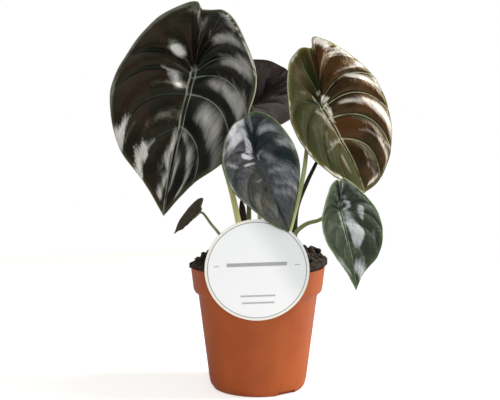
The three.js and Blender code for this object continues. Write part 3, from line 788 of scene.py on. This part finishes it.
def blade_half(leaf, side, rows, reach, painted_streaks):
    """One half of a blade, as arrays over rows and reach: its upper and lower face and the skin's
    measures. The upper face gets a narrow groove with a fine ridge at each rib, the shoulders of
    the midrib and faint cross ripples. The lower face gets raised ribs and a keel."""
    u, v, height, bulge = blade_form(leaf, side, rows, reach)
    row, size = rows[:, None], leaf["half"] / 60
    flat = np.stack([u, v, height], axis=-1)
    down_row, out_row = np.gradient(flat, rows, axis=0), np.gradient(flat, reach[0], axis=1)
    area = np.linalg.norm(np.cross(down_row, out_row), axis=-1)
    from_rib = np.abs(row - np.round(row)) * area / np.maximum(np.linalg.norm(out_row, axis=-1), 1e-6)
    from_edge = (1 - reach) * area / np.maximum(np.linalg.norm(down_row, axis=-1), 1e-6)
    walk = np.cumsum(np.linalg.norm(np.diff(flat, axis=1, prepend=flat[:, :1]), axis=-1), axis=1)
    taper = np.interp(u, [-leaf["tip"] * 0.1, 0, leaf["tip"]], [0.1, 1, 0.28])
    from_midrib = np.abs(v) / (taper * RELIEF["midrib"] * size)
    vein_wide = size * (RELIEF["rib"] + RELIEF["rib_flare"] * (1 - reach) ** 2)
    groove = np.exp(-(from_rib / (RELIEF["groove_wide"] * vein_wide)) ** 2)
    ridge = np.exp(-(from_rib / vein_wide) ** 2)
    channel = np.where(u > MIDRIB_ENDS, np.exp(-from_midrib ** 2 * 1.6), 0)
    shoulder = np.where(u > MIDRIB_ENDS, np.exp(-((from_midrib - 1) / 0.3) ** 2), 0)
    uneven = np.sin(0.31 * walk / size + 2.1 * row + side) * np.sin(0.17 * walk / size - 3.3 * row)
    ripple = np.sin(2 * np.pi * walk / (RELIEF["ripple_long"] * size) + 1.5 * np.sin(5 * row + side))
    off_midrib = 1 - np.exp(-(walk / (2.5 * size)) ** 2)
    clear = leaf["crisp"][side > 0] * np.interp(row, [1.6, 3.4], [0.2, 1]) * off_midrib
    detail = size * (
        clear * (RELIEF["ridge_high"] * ridge - RELIEF["groove_deep"] * groove)
        + RELIEF["shoulder_high"] * shoulder - RELIEF["channel_deep"] * channel
        + bulge * (RELIEF["uneven"] * uneven + RELIEF["ripple"] * ripple))
    edge_wave = size * RELIEF["edge_wave"] * reach ** 8 * np.sin(2.9 * row + 0.7 * side) * np.sin(6.1 * row)
    # The quilts of the lobes are softer than the rest.
    softer = np.sin(np.pi * row) ** 2 * np.sin(np.pi * reach ** 0.8) ** 0.8
    height += leaf["quilt"] * np.interp(row, [1.6, 3.0], [0.8, 0]) * 0.85 * (softer - bulge)
    keel = np.exp(-(v / (RELIEF["keel_wide"] * size)) ** 2) * np.interp(u, [-6, 0, leaf["tip"]], [0, 1, 0.2])
    under_rib = np.exp(-(from_rib / (RELIEF["under_rib_wide"] * size)) ** 2) * (1 - 0.85 * reach) * off_midrib
    upper = height + detail + edge_wave
    lower = height + edge_wave - BLADE_THICK - size * (
        RELIEF["keel_high"] * keel + RELIEF["under_rib_high"] * under_rib
        + RELIEF["under_groove"] * groove * off_midrib)
    hand = "left" if side < 0 else "right"
    # The painted highlights and the painted shade of this half, from its lists of streaks.
    painted_sheen, frayed = painted_light_on(painted_streaks.get("sheen " + hand, []), rows, reach)
    shade, _ = painted_light_on(painted_streaks.get("shade " + hand, []), rows, reach)
    return {
        "upper": np.stack([v, -upper, -u], axis=-1), "lower": np.stack([v, -lower, -u], axis=-1),
        "vein": from_rib / vein_wide, "edge": np.broadcast_to(from_edge, u.shape),
        "midrib": np.where(u > MIDRIB_ENDS - 1, from_midrib, 9), "walk": walk,
        "half": np.broadcast_to(np.clip(side * np.abs(v) / 4, -1, 1), u.shape),
        "row": np.broadcast_to(row, u.shape), "painted_sheen": painted_sheen, "frayed": frayed, "shade": shade,
    }


def blade_mesh(name, leaf, per_row, cells, painted_streaks, skin):
    """The closed blade: both halves, upper and lower face, joined round the margin by a rounded
    lip. Rows crowd together near the ribs and cells near the midrib."""
    crowd_rows, crowd_cells = 0.11, 1.35
    step = np.arange(per_row) / per_row
    eased = step - crowd_rows * np.sin(2 * np.pi * step)
    rows = np.r_[(np.arange(VEIN_ROWS)[:, None] + eased).ravel(), VEIN_ROWS]
    reach = (np.linspace(0, 1, cells + 1) ** crowd_cells)[None]
    right, left = (blade_half(leaf, side, rows, reach, painted_streaks) for side in (1, -1))
    ring = {key: np.concatenate([right[key], left[key][-2:0:-1]]) for key in right}
    upper, lower = ring.pop("upper"), ring.pop("lower")
    outward = upper[:, -1] - upper[:, -2]
    outward /= np.linalg.norm(outward, axis=1, keepdims=True)
    lip = (upper[:, -1] + lower[:, -1]) / 2 + LIP * outward
    count, line = len(upper), cells + 1
    here, cell = np.meshgrid(np.arange(count), np.arange(cells), indexing="ij")
    near, far = here * line + cell, (here + 1) % count * line + cell
    top = np.stack([near, far, far + 1, near + 1], axis=-1).reshape(-1, 4)
    end, middle = np.arange(count) * line + cells, 2 * count * line + np.arange(count)
    next_end, next_middle = np.roll(end, -1), np.roll(middle, -1)
    rim = np.concatenate([
        np.stack([end, next_end, next_middle, middle], axis=1),
        np.stack([middle, next_middle, next_end + count * line, end + count * line], axis=1)])
    measures = {key: np.r_[value.ravel(), value.ravel(), value[:, -1]] for key, value in ring.items()}
    measures["face"] = np.r_[np.ones(count * line), np.zeros(count * line), np.full(count, 0.5)]
    points = np.concatenate([upper.reshape(-1, 3), lower.reshape(-1, 3), lip])
    placed = points @ blade_turn(leaf).T + leaf["top"]
    return solid(name, placed, [top, top[:, ::-1] + count * line, rim], skin, measures, merge=3e-4)


def blade_skin(name, left, right, low, mottle, groove, vein, band, rim, painted_highlight, under, under_rib, rough, coat,
               metal, glint, shine, leather, cloud=(0.75, 0.75), show=(0.08, 0.12), sink=0.5, crumple=0.0,
               turns=(2.5, 6.5), spine=(1.0, 1.0)):
    """A living blade, from its own measures. Where a value is a pair, the first is the left half's
    and the second the right half's, apart from turns and spine.

    The upper face has the colour left or right, and shades to low between the rows in turns. It
    is clouded with mottle, by cloud. It turns to groove near a rib, by sink, which is the ribs' own
    dark green with painted shade in their grooves; in pressed creases, by crumple, as painted shade;
    and where the measure shade is high, as streaks of painted shade. A band of its own colour lies
    along the margin. Its painted highlight colour lies over it where the measure sheen is high, with
    fibrous, frayed edges. The ribs, by show, and the midrib's shoulders, by spine above and below,
    are broken lines of vein: a paler rib colour with painted highlight along the rib ridges, and
    painted highlight along the shoulders. The margin itself is rim, a paler edge with a painted
    highlight along it, darker at the lower right. The lower face is under, clouded with brown, with
    ribs of under_rib and an olive keel. The gloss is as rough as rough says and tinted with glint,
    and the relief is pores, fine cells, leather and the creases."""
    material = finish(name, Specular_IOR_Level=shine, Specular_Tint=glint, Coat_Weight=coat,
                      Coat_Roughness=0.1, Metallic=metal)
    tree = material.node_tree
    olive, brown = (0.10, 0.11, 0.035), (0.05, 0.03, 0.03)
    from_vein, from_edge, from_midrib, walk, half, row, painted_sheen, frayed, shade, face = measured(
        material, "vein", "edge", "midrib", "walk", "half", "row", "painted_sheen", "frayed", "shade", "face")
    clouds = grain(material, 38, detail=3)
    on_right = ramp(half, -1, 1)
    colour = tint(on_right, left, right)
    colour = tint(ramp(row, *turns, 0, 0.8), colour, tint(on_right, *low))
    colour = tint(ramp(clouds, 0.42, 0.62) * ramp(half, -1, 1, *cloud), colour, mottle)
    past_lobes = ramp(row, 2.0, 3.4, 0.25, 1)
    # Darker near each rib: the ribs' own dark green, with painted shade in the grooves.
    colour = tint(ramp(from_vein, 6.5, 1.5, 0, sink) * past_lobes, colour, groove)
    colour = tint(ramp(from_edge, 4.5, 1.4, 0, 0.8), colour, band)
    along = put(tree, "CombineXYZ", {0: walk * 0.11, 1: row * 1.9 + walk * 0.03, 2: half * 3.0})
    folds = put(tree, "TexNoise", {"Vector": along, "Scale": 1.0, "Detail": 3.0, "Roughness": 0.55})
    # Pressed creases and the dark streaks are darkened to groove: painted shade.
    pressed = ramp(abs(folds - 0.5), 0.0, 0.05, crumple, 0.0)
    colour = tint(shade, tint(pressed, colour, groove), groove)

    # Painted highlights: the highlight colour is laid over the quilts where the streaks lie, with fibrous,
    # frayed edges.
    along = put(tree, "CombineXYZ", {0: walk * 0.30, 1: row * 3.0, 2: half})
    fibres = put(tree, "TexNoise", {"Vector": along, "Scale": 1.0, "Detail": 6.0, "Roughness": 0.65})
    fray = (fibres - 0.5) * (frayed * 0.8 + painted_sheen * 0.9)
    colour = tint(ramp(painted_sheen, 0.0, 1.0).sum("ADD", fray, clamp=True), colour, painted_highlight)

    # Pale lines on the ribs and the midrib's shoulders: a paler rib colour with painted highlight along the
    # ridges, and painted highlight on the shoulders.
    ribs = ramp(from_vein, 1.25, 0.6) * past_lobes * ramp(half, -1, 1, *show)
    shoulder_highlights = ramp(abs(from_midrib - 1.0), 0.4, 0.2) * ramp(row, 4.6, 6.0, *spine)
    broken = ramp(grain(material, 90, detail=2), 0.32, 0.5, 0.35, 1)
    colour = tint(ribs.sum("MAXIMUM", shoulder_highlights) * broken, colour, vein)
    # The pale rim is a paler edge with a painted highlight along it, darker at the lower right.
    margin = tint(ramp(row, 3.2, 4.6, 0, 0.85) * on_right, rim, groove)
    colour = tint(ramp(from_edge, 0.7, 0.4), colour, margin)

    lower = tint(ramp(from_vein, 4.0, 1.0), under, under_rib)
    lower = tint(ramp(walk, 5.0, 1.5), lower, olive)
    lower = tint(ramp(clouds, 0.4, 0.65, 0, 0.4), lower, brown)
    colour = tint(ramp(face, 0.3, 0.7), lower, colour)

    along = put(tree, "CombineXYZ", {0: walk * 0.32, 1: row * 3.2, 2: half})
    net = put(tree, "TexVoronoi", {"Vector": along, "Scale": 1.0}, feature="DISTANCE_TO_EDGE")
    relief = grain(material, 1400, detail=2) * 0.35 + ramp(net, 0.0, 0.12, 0, 0.5)
    relief = relief + grain(material, 230, detail=4, rough=0.6) * leather - pressed * 12.0
    gloss = ramp(grain(material, 55, detail=3), 0.35, 0.65, -0.05, 0.07) + ramp(half, -1, 1, *rough)
    gloss = gloss + ramp(from_vein, 2.0, 0.6, 0, 0.15) + shade * 0.5
    wear(material, colour, gloss, relief, 0.00004)
    return material


# The painted light on each half of a blade: streaks of painted highlight, silvery, that stand for
# the quilts' reflections, and streaks of painted shade, dark and dull. Each gives the reach and row
# where it starts, the reach and row where it ends, half its width in rows at each of these, how
# soft its edge is, and its strength.
PAINTED_STREAKS = {
    "leaf_left": {
        "sheen left": [
            (0.36, 2.42, 0.33, 2.52, 0.36, 0.36, 0.2, 1), (0.46, 2.45, 0.4, 2.6, 0.22, 0.26, 0.4, 0.45),
            (0.3, 3.98, 0.17, 4.1, 0.05, 0.1, 0.12, 0.7), (0.17, 4.15, 0.1, 4.62, 0.2, 0.14, 0.26, 0.6),
            (0.14, 4.25, 0.09, 4.68, 0.09, 0.06, 0.14, 1), (0.66, 5.05, 1, 4.98, 0.06, 0.27, 0.14, 0.9),
            (0.38, 6.02, 0.6, 5.98, 0.02, 0.09, 0.12, 0.6), (0.6, 5.98, 1, 5.8, 0.13, 0.2, 0.12, 1),
            (0.22, 6.84, 0.78, 6.76, 0.06, 0.09, 0.14, 0.85), (0.06, 6.28, 0.17, 6.6, 0.14, 0.16, 0.2, 0.95),
            (0.72, 0.1, 0.88, 0.85, 0.14, 0.24, 0.6, 0.42), (0.45, 0.5, 0.7, 1.8, 0.6, 0.7, 0.8, 0.04),
            (0.97, 1.2, 0.97, 4.2, 0.05, 0.05, 0.2, 0.4), (0.6, 5.34, 0.86, 5.28, 0.02, 0.04, 0.12, 0.3),
            (0.9, 3.6, 0.98, 4.4, 0.05, 0.08, 0.3, 0.4), (0.05, 0.2, 0.05, 2.6, 0.15, 0.12, 0.12, 0.45),
        ],
        "sheen right": [
            (0.05, 0.2, 0.05, 2.9, 0.2, 0.12, 0.12, 0.45), (0.56, 0.05, 0.75, 0.2, 0.12, 0.2, 0.5, 0.5),
            (0.95, 0.9, 0.93, 1.95, 0.07, 0.1, 0.2, 0.6), (0.62, 2.02, 0.84, 2.28, 0.3, 0.26, 0.3, 0.48),
            (0.62, 1.98, 0.74, 2.12, 0.16, 0.12, 0.35, 0.6), (0.48, 3.18, 0.84, 3.12, 0.28, 0.32, 0.3, 0.48),
            (0.5, 3.2, 0.72, 3.22, 0.14, 0.14, 0.35, 0.62), (0.32, 4.36, 0.82, 4.18, 0.24, 0.36, 0.3, 0.48),
            (0.32, 4.38, 0.6, 4.3, 0.16, 0.18, 0.35, 0.64), (0.28, 5.4, 0.62, 5.36, 0.26, 0.32, 0.3, 0.48),
            (0.3, 5.36, 0.5, 5.42, 0.14, 0.2, 0.35, 0.64), (0.6, 5.36, 0.98, 5.44, 0.22, 0.12, 0.34, 0.36),
            (0.7, 0.9, 0.88, 4.3, 0.45, 0.45, 0.8, 0.07), (0.08, 6.1, 0.78, 6.28, 0.06, 0.1, 0.14, 0.55),
            (0.78, 6.28, 0.88, 6.5, 0.07, 0.09, 0.14, 0.6), (0.02, 6.42, 0.5, 6.84, 0.11, 0.13, 0.22, 0.62),
            (0.985, 1.3, 0.98, 3.05, 0.04, 0.07, 0.05, 1),
        ],
    },
    "leaf_copper": {
        "sheen left": [
            (0.22, 0.25, 0.22, 1.6, 0.1, 0.1, 0.12, 0.45), (0.28, 2.5, 0.03, 2.9, 0.03, 0.05, 0.08, 0.8),
            (0.78, 2.44, 0.5, 2.52, 0.04, 0.06, 0.25, 0.22), (0.55, 2.85, 0.28, 3.15, 0.05, 0.06, 0.3, 0.24),
            (0.13, 4.05, 0.05, 5.4, 0.24, 0.18, 0.35, 0.4), (0.48, 4.3, 0.3, 4.75, 0.26, 0.26, 0.5, 0.13),
            (0.62, 5.15, 0.22, 5.75, 0.04, 0.05, 0.15, 0.4), (0.45, 5.3, 0.06, 6, 0.05, 0.06, 0.15, 0.45),
            (0.62, 6.32, 0.3, 6.12, 0.04, 0.04, 0.12, 0.45), (0.72, 3.75, 0.3, 3.7, 0.2, 0.2, 0.7, 0.07),
            (0.55, 4.45, 0.2, 4.4, 0.1, 0.12, 0.4, 0.12), (0.995, 1, 0.995, 4.6, 0.05, 0.06, 0.06, 1),
            (0.99, 4.6, 0.93, 6.2, 0.06, 0.12, 0.12, 1), (0.07, 4.55, 0.03, 5.2, 0.06, 0.08, 0.12, 0.5),
            (0.72, 5.22, 0.25, 5.12, 0.05, 0.06, 0.15, 0.26), (0.55, 3.05, 0.35, 3.1, 0.05, 0.06, 0.2, 0.18),
        ],
        "sheen right": [
            (0.97, 0.2, 0.94, 1.5, 0.1, 0.26, 0.1, 0.75), (0.82, 1.95, 1, 2.18, 0.12, 0.28, 0.1, 0.8),
            (0.48, 2.55, 0.72, 2.72, 0.02, 0.06, 0.1, 0.48), (0.72, 2.72, 1, 2.68, 0.06, 0.1, 0.1, 0.6),
            (0.42, 3.05, 0.58, 3.06, 0.03, 0.14, 0.2, 0.36), (0.58, 3.1, 0.92, 3.46, 0.19, 0.17, 0.12, 0.72),
            (0.9, 3.6, 1, 3.25, 0.06, 0.28, 0.12, 0.6), (0.18, 4.34, 0.42, 4.42, 0.06, 0.2, 0.14, 0.58),
            (0.42, 4.42, 1, 4.52, 0.18, 0.32, 0.12, 0.58), (0.3, 5.62, 0.62, 5.52, 0.03, 0.06, 0.12, 0.5),
            (0.62, 5.52, 0.94, 5.44, 0.07, 0.09, 0.1, 0.7), (0.95, 5.44, 0.97, 5.72, 0.08, 0.05, 0.1, 0.7),
            (0.8, 5.3, 0.98, 5.04, 0.02, 0.05, 0.1, 0.6), (0.9, 6.18, 0.87, 6.66, 0.1, 0.12, 0.12, 0.75),
            (0.52, 6.46, 0.84, 6.32, 0.03, 0.05, 0.14, 0.45), (0.2, 0.15, 0.19, 1.85, 0.1, 0.12, 0.12, 0.45),
            (0.1, 2.3, 0.09, 3.4, 0.2, 0.13, 0.1, 0.85), (0.06, 3.7, 0.035, 5.2, 0.09, 0.05, 0.08, 0.85),
        ],
        "shade left": [
            (0.8, 4.7, 0.58, 4.92, 0.14, 0.12, 0.3, 0.45), (0.8, 5.6, 0.55, 5.7, 0.16, 0.14, 0.3, 0.35),
            (0.4, 0.6, 0.45, 1.4, 0.4, 0.4, 0.4, 0.45),
        ],
        "shade right": [
            (0.32, 5.14, 0.92, 5.08, 0.12, 0.14, 0.15, 0.9), (0.25, 6.13, 0.78, 6.12, 0.1, 0.12, 0.15, 0.7),
            (0.4, 1.55, 0.72, 1.75, 0.2, 0.2, 0.3, 0.3), (0.1, 4.2, 0.16, 4.75, 0.14, 0.14, 0.2, 0.7),
            (0.45, 5.86, 0.8, 5.8, 0.1, 0.12, 0.15, 0.6),
        ],
    },
    "leaf_front": {
        "sheen left": [
            (0.98, 0.4, 0.92, 1.4, 0.5, 0.45, 0.4, 0.85), (0.37, 0.95, 0.2, 2.55, 0.62, 0.32, 0.26, 0.95),
            (0.66, 0.8, 0.74, 2.1, 0.62, 0.5, 0.4, 0.72), (0.28, 3.35, 0.14, 3.7, 0.28, 0.28, 0.14, 0.9),
            (0.2, 2.6, 0.12, 3.2, 0.2, 0.14, 0.2, 0.8), (0.85, 3.2, 0.5, 3.95, 0.06, 0.08, 0.25, 0.6),
            (0.28, 4.24, 0.1, 4.36, 0.06, 0.08, 0.14, 0.85), (0.22, 5.4, 0.08, 5.54, 0.03, 0.05, 0.14, 0.5),
            (0.97, 1.6, 0.97, 5.2, 0.1, 0.06, 0.2, 0.55), (0.6, 6.6, 0.1, 6.7, 0.08, 0.08, 0.4, 0.4),
        ],
        "sheen right": [
            (0.62, 0.6, 0.92, 0.42, 0.2, 0.22, 0.5, 0.34), (0.6, 1.95, 0.8, 2.35, 0.34, 0.3, 0.5, 0.52),
            (0.66, 3.35, 0.98, 3.25, 0.32, 0.38, 0.45, 0.42), (0.06, 3.5, 0.03, 4.2, 0.06, 0.05, 0.14, 0.75),
            (0.12, 3.4, 0.22, 4.5, 0.28, 0.36, 0.5, 0.3), (0.15, 5.3, 0.95, 4.7, 0.14, 0.12, 0.4, 0.42),
            (0.2, 5.9, 0.92, 5.3, 0.1, 0.12, 0.3, 0.45), (0.1, 6.25, 0.85, 5.85, 0.1, 0.12, 0.3, 0.42),
        ],
        "shade left": [
            (0.82, 5.2, 0.35, 5.45, 0.2, 0.2, 0.4, 0.6), (0.9, 4.15, 0.68, 4.22, 0.1, 0.1, 0.3, 0.6),
            (0.52, 2.95, 0.32, 2.95, 0.04, 0.06, 0.2, 0.8),
        ],
        "shade right": [
            (0.42, 4.3, 0.84, 4.38, 0.28, 0.26, 0.3, 0.95), (0.25, 0.6, 0.4, 2.6, 0.4, 0.4, 0.4, 0.8),
            (0.36, 2.6, 0.46, 3.3, 0.24, 0.2, 0.3, 0.7), (0.22, 5.62, 0.5, 5.78, 0.03, 0.04, 0.15, 0.8),
            (0.1, 5.35, 0.5, 5.15, 0.05, 0.06, 0.25, 0.6),
        ],
    },
    "leaf_right": {
        "sheen left": [
            (0.25, 0.1, 0.24, 1.7, 0.35, 0.3, 0.4, 0.36), (0.35, 0.1, 0.9, 0.2, 0.55, 0.55, 0.6, 0.34),
            (0.62, 4.35, 0.3, 4.7, 0.05, 0.05, 0.35, 0.32), (0.06, 3.8, 0.04, 5.7, 0.15, 0.1, 0.25, 0.6),
            (1, 5.2, 0.74, 6.35, 0.2, 0.2, 0.35, 0.58), (0.3, 4.8, 0.08, 5.2, 0.06, 0.05, 0.3, 0.35),
        ],
        "sheen right": [
            (0.34, 2.1, 0.19, 3.25, 0.22, 0.14, 0.2, 0.9), (0.1, 3.3, 0.1, 4.9, 0.16, 0.16, 0.25, 0.62),
            (0.13, 5, 0.24, 5.56, 0.34, 0.54, 0.18, 0.95), (0.4, 3.62, 0.34, 4.55, 0.27, 0.08, 0.22, 0.8),
            (0.65, 4.97, 0.7, 5, 0.12, 0.08, 0.3, 0.55), (0.95, 1.4, 0.75, 3.4, 0.14, 0.14, 0.6, 0.4),
            (0.24, 6.8, 1, 6.2, 0.15, 0.34, 0.28, 0.9), (0.43, 1.35, 0.46, 1.85, 0.22, 0.2, 0.35, 0.45),
            (0.2, 0.1, 0.2, 1.9, 0.26, 0.26, 0.3, 0.45), (0.3, 0.2, 0.78, 0.6, 0.7, 0.6, 0.7, 0.42),
            (0.11, 2.3, 0.09, 3.2, 0.05, 0.05, 0.12, 0.4), (0.45, 3.5, 0.75, 3.6, 0.2, 0.24, 0.6, 0.25),
        ],
        "shade right": [
            (0.6, 4.1, 0.62, 5.2, 0.22, 0.3, 0.3, 0.6),
        ],
    },
}
# Each blade's colours. The highlight colour is painted where the bright streaks lie, and groove is also the
# colour of the painted shade.
BLADES = {
    "leaf_left": ("dark_leaf", 30, 46, dict(
        left=(0.012, 0.011, 0.006), right=(0.005, 0.006, 0.005),
        low=((0.010, 0.010, 0.007), (0.006, 0.008, 0.007)), mottle=(0.031, 0.018, 0.011),
        groove=(0.010, 0.017, 0.012), vein=(0.26, 0.28, 0.22), band=(0.042, 0.044, 0.020),
        rim=(0.34, 0.33, 0.25), painted_highlight=(0.58, 0.57, 0.54), under=(0.055, 0.022, 0.022),
        under_rib=(0.105, 0.100, 0.050), glint=(1.0, 0.93, 0.74),
        rough=(0.20, 0.24), coat=0.03, metal=0.08, shine=0.12, leather=10.0,
        cloud=(0.65, 0.15), show=(0.05, 0.6), sink=0.8)),
    "leaf_copper": ("copper_leaf", 28, 44, dict(
        left=(0.018, 0.023, 0.006), right=(0.027, 0.014, 0.005),
        low=((0.037, 0.045, 0.016), (0.016, 0.010, 0.004)), mottle=(0.064, 0.026, 0.009),
        groove=(0.016, 0.017, 0.007), vein=(0.32, 0.32, 0.21), band=(0.066, 0.068, 0.014),
        rim=(0.26, 0.25, 0.17), painted_highlight=(0.62, 0.585, 0.53), under=(0.075, 0.028, 0.024),
        under_rib=(0.120, 0.120, 0.058), glint=(1.0, 0.88, 0.5),
        rough=(0.78, 0.20), coat=0.02, metal=0.12, shine=0.18, leather=12.0,
        cloud=(0.3, 0.8), show=(0.08, 0.8), sink=0.6)),
    "leaf_front": ("blue_leaf", 22, 34, dict(
        left=(0.088, 0.084, 0.094), right=(0.010, 0.014, 0.015),
        low=((0.088, 0.086, 0.058), (0.165, 0.178, 0.205)), mottle=(0.036, 0.038, 0.042),
        groove=(0.010, 0.020, 0.020), vein=(0.09, 0.15, 0.145), band=(0.06, 0.08, 0.045),
        rim=(0.13, 0.16, 0.09), painted_highlight=(0.62, 0.62, 0.66), under=(0.08, 0.045, 0.06),
        under_rib=(0.12, 0.13, 0.06), glint=(0.92, 0.96, 1.0),
        rough=(0.40, 0.42), coat=0.05, metal=0.15, shine=0.2, leather=48.0,
        sink=0.35, crumple=0.45, turns=(4.1, 5.4), spine=(0.55, 0.1))),
    "leaf_right": ("green_leaf", 22, 34, dict(
        left=(0.018, 0.026, 0.008), right=(0.018, 0.024, 0.013),
        low=((0.022, 0.030, 0.012), (0.040, 0.046, 0.024)), mottle=(0.012, 0.017, 0.013),
        groove=(0.022, 0.036, 0.024), vein=(0.20, 0.27, 0.19), band=(0.045, 0.062, 0.024),
        rim=(0.20, 0.25, 0.14), painted_highlight=(0.40, 0.43, 0.44), under=(0.10, 0.11, 0.06),
        under_rib=(0.16, 0.18, 0.09), glint=(0.92, 1.0, 0.92),
        rough=(0.50, 0.36), coat=0.03, metal=0.1, shine=0.15, leather=32.0,
        sink=0.35, crumple=0.35)),
    "leaf_back": ("purple_leaf", 22, 34, dict(
        left=(0.018, 0.012, 0.012), right=(0.018, 0.012, 0.012),
        low=((0.018, 0.012, 0.012), (0.018, 0.012, 0.012)), mottle=(0.028, 0.018, 0.017),
        groove=(0.010, 0.011, 0.008), vein=(0.060, 0.048, 0.040), band=(0.03, 0.03, 0.016),
        rim=(0.16, 0.14, 0.10), painted_highlight=(0.5, 0.5, 0.5), under=(0.024, 0.014, 0.015),
        under_rib=(0.030, 0.021, 0.017), glint=(1.0, 0.9, 0.9),
        rough=(0.32, 0.32), coat=0.08, metal=0.2, shine=0.3, leather=14.0,
        show=(0.15, 0.15), crumple=0.3)),
    "leaf_young": ("young_leaf", 12, 16, dict(
        left=(0.060, 0.048, 0.030), right=(0.050, 0.042, 0.028),
        low=((0.040, 0.034, 0.024), (0.040, 0.034, 0.024)), mottle=(0.035, 0.028, 0.020),
        groove=(0.030, 0.028, 0.018), vein=(0.12, 0.11, 0.07), band=(0.06, 0.055, 0.03),
        rim=(0.14, 0.13, 0.08), painted_highlight=(0.3, 0.3, 0.3), under=(0.060, 0.035, 0.026),
        under_rib=(0.09, 0.08, 0.045), glint=(1.0, 0.95, 0.85),
        rough=(0.38, 0.38), coat=0.06, metal=0.1, shine=0.2, leather=12.0,
        show=(0.2, 0.2), crumple=0.2)),
}
for name, (slot, per_row, cells, tones) in BLADES.items():
    skin = blade_skin(slot + "_skin", **tones)
    blade = blade_mesh(name + "_lamina", LEAVES[name], per_row, cells, PAINTED_STREAKS.get(name, {}), skin)
    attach(blade, "root")
    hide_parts(name + "_blade")

# ---------------------------------------------------------------- bud sheath and withered stalk
# The dry brown sheath that wrapped the last new leaf, and the stalk of an old leaf that has
# withered: both dull, wrinkled lengthwise and dark.

SHEATH = {
    "path": [(-14, 9, 92), (-14, 9, 118), (-13.5, 11, 149), (-15, 12, 167)],
    "radii": ((0, 0.3, 0.78, 0.9, 0.97, 1), (3.6, 3.0, 3.4, 2.6, 1.2, 0.3)), "flat": 0.45, "ridge": 0.1,
}
WITHERED = {
    "path": [(33, 8, 92), (33, 8, 118), (33, 10, 134), (35, 14, 158), (44, 22, 180), (57, 33, 205)],
    "radii": ((0, 0.9, 0.98, 1), (2.8, 1.6, 1.3, 0.5)), "ridge": 0.12,
}


def dry_finish(name, dark, light):
    """Dead tissue: dark fibres with lighter, drier lines along them, and no gloss."""
    material = finish(name, Roughness=0.8, Specular_IOR_Level=0.3)
    fibres = fibres_along(material, 0.04, 6.0, 5.0)
    colour = tint(ramp(fibres, 0.4, 0.7), dark, light)
    wear(material, colour, ramp(fibres, 0.3, 0.7, 0.65, 0.9), fibres, 0.0008)
    return material


points, faces, measures = stem(**SHEATH)
skin = dry_finish("dry_sheath_skin", (0.018, 0.010, 0.007), (0.085, 0.045, 0.028))
sheath = solid("papery_sheath", points, faces, skin, measures)
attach(sheath, "root")
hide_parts("bud_sheath")

points, faces, measures = stem(**WITHERED)
skin = dry_finish("withered_skin", (0.014, 0.013, 0.008), (0.055, 0.050, 0.028))
withered = solid("withered_petiole", points, faces, skin, measures)
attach(withered, "root")
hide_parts("withered_stalk")
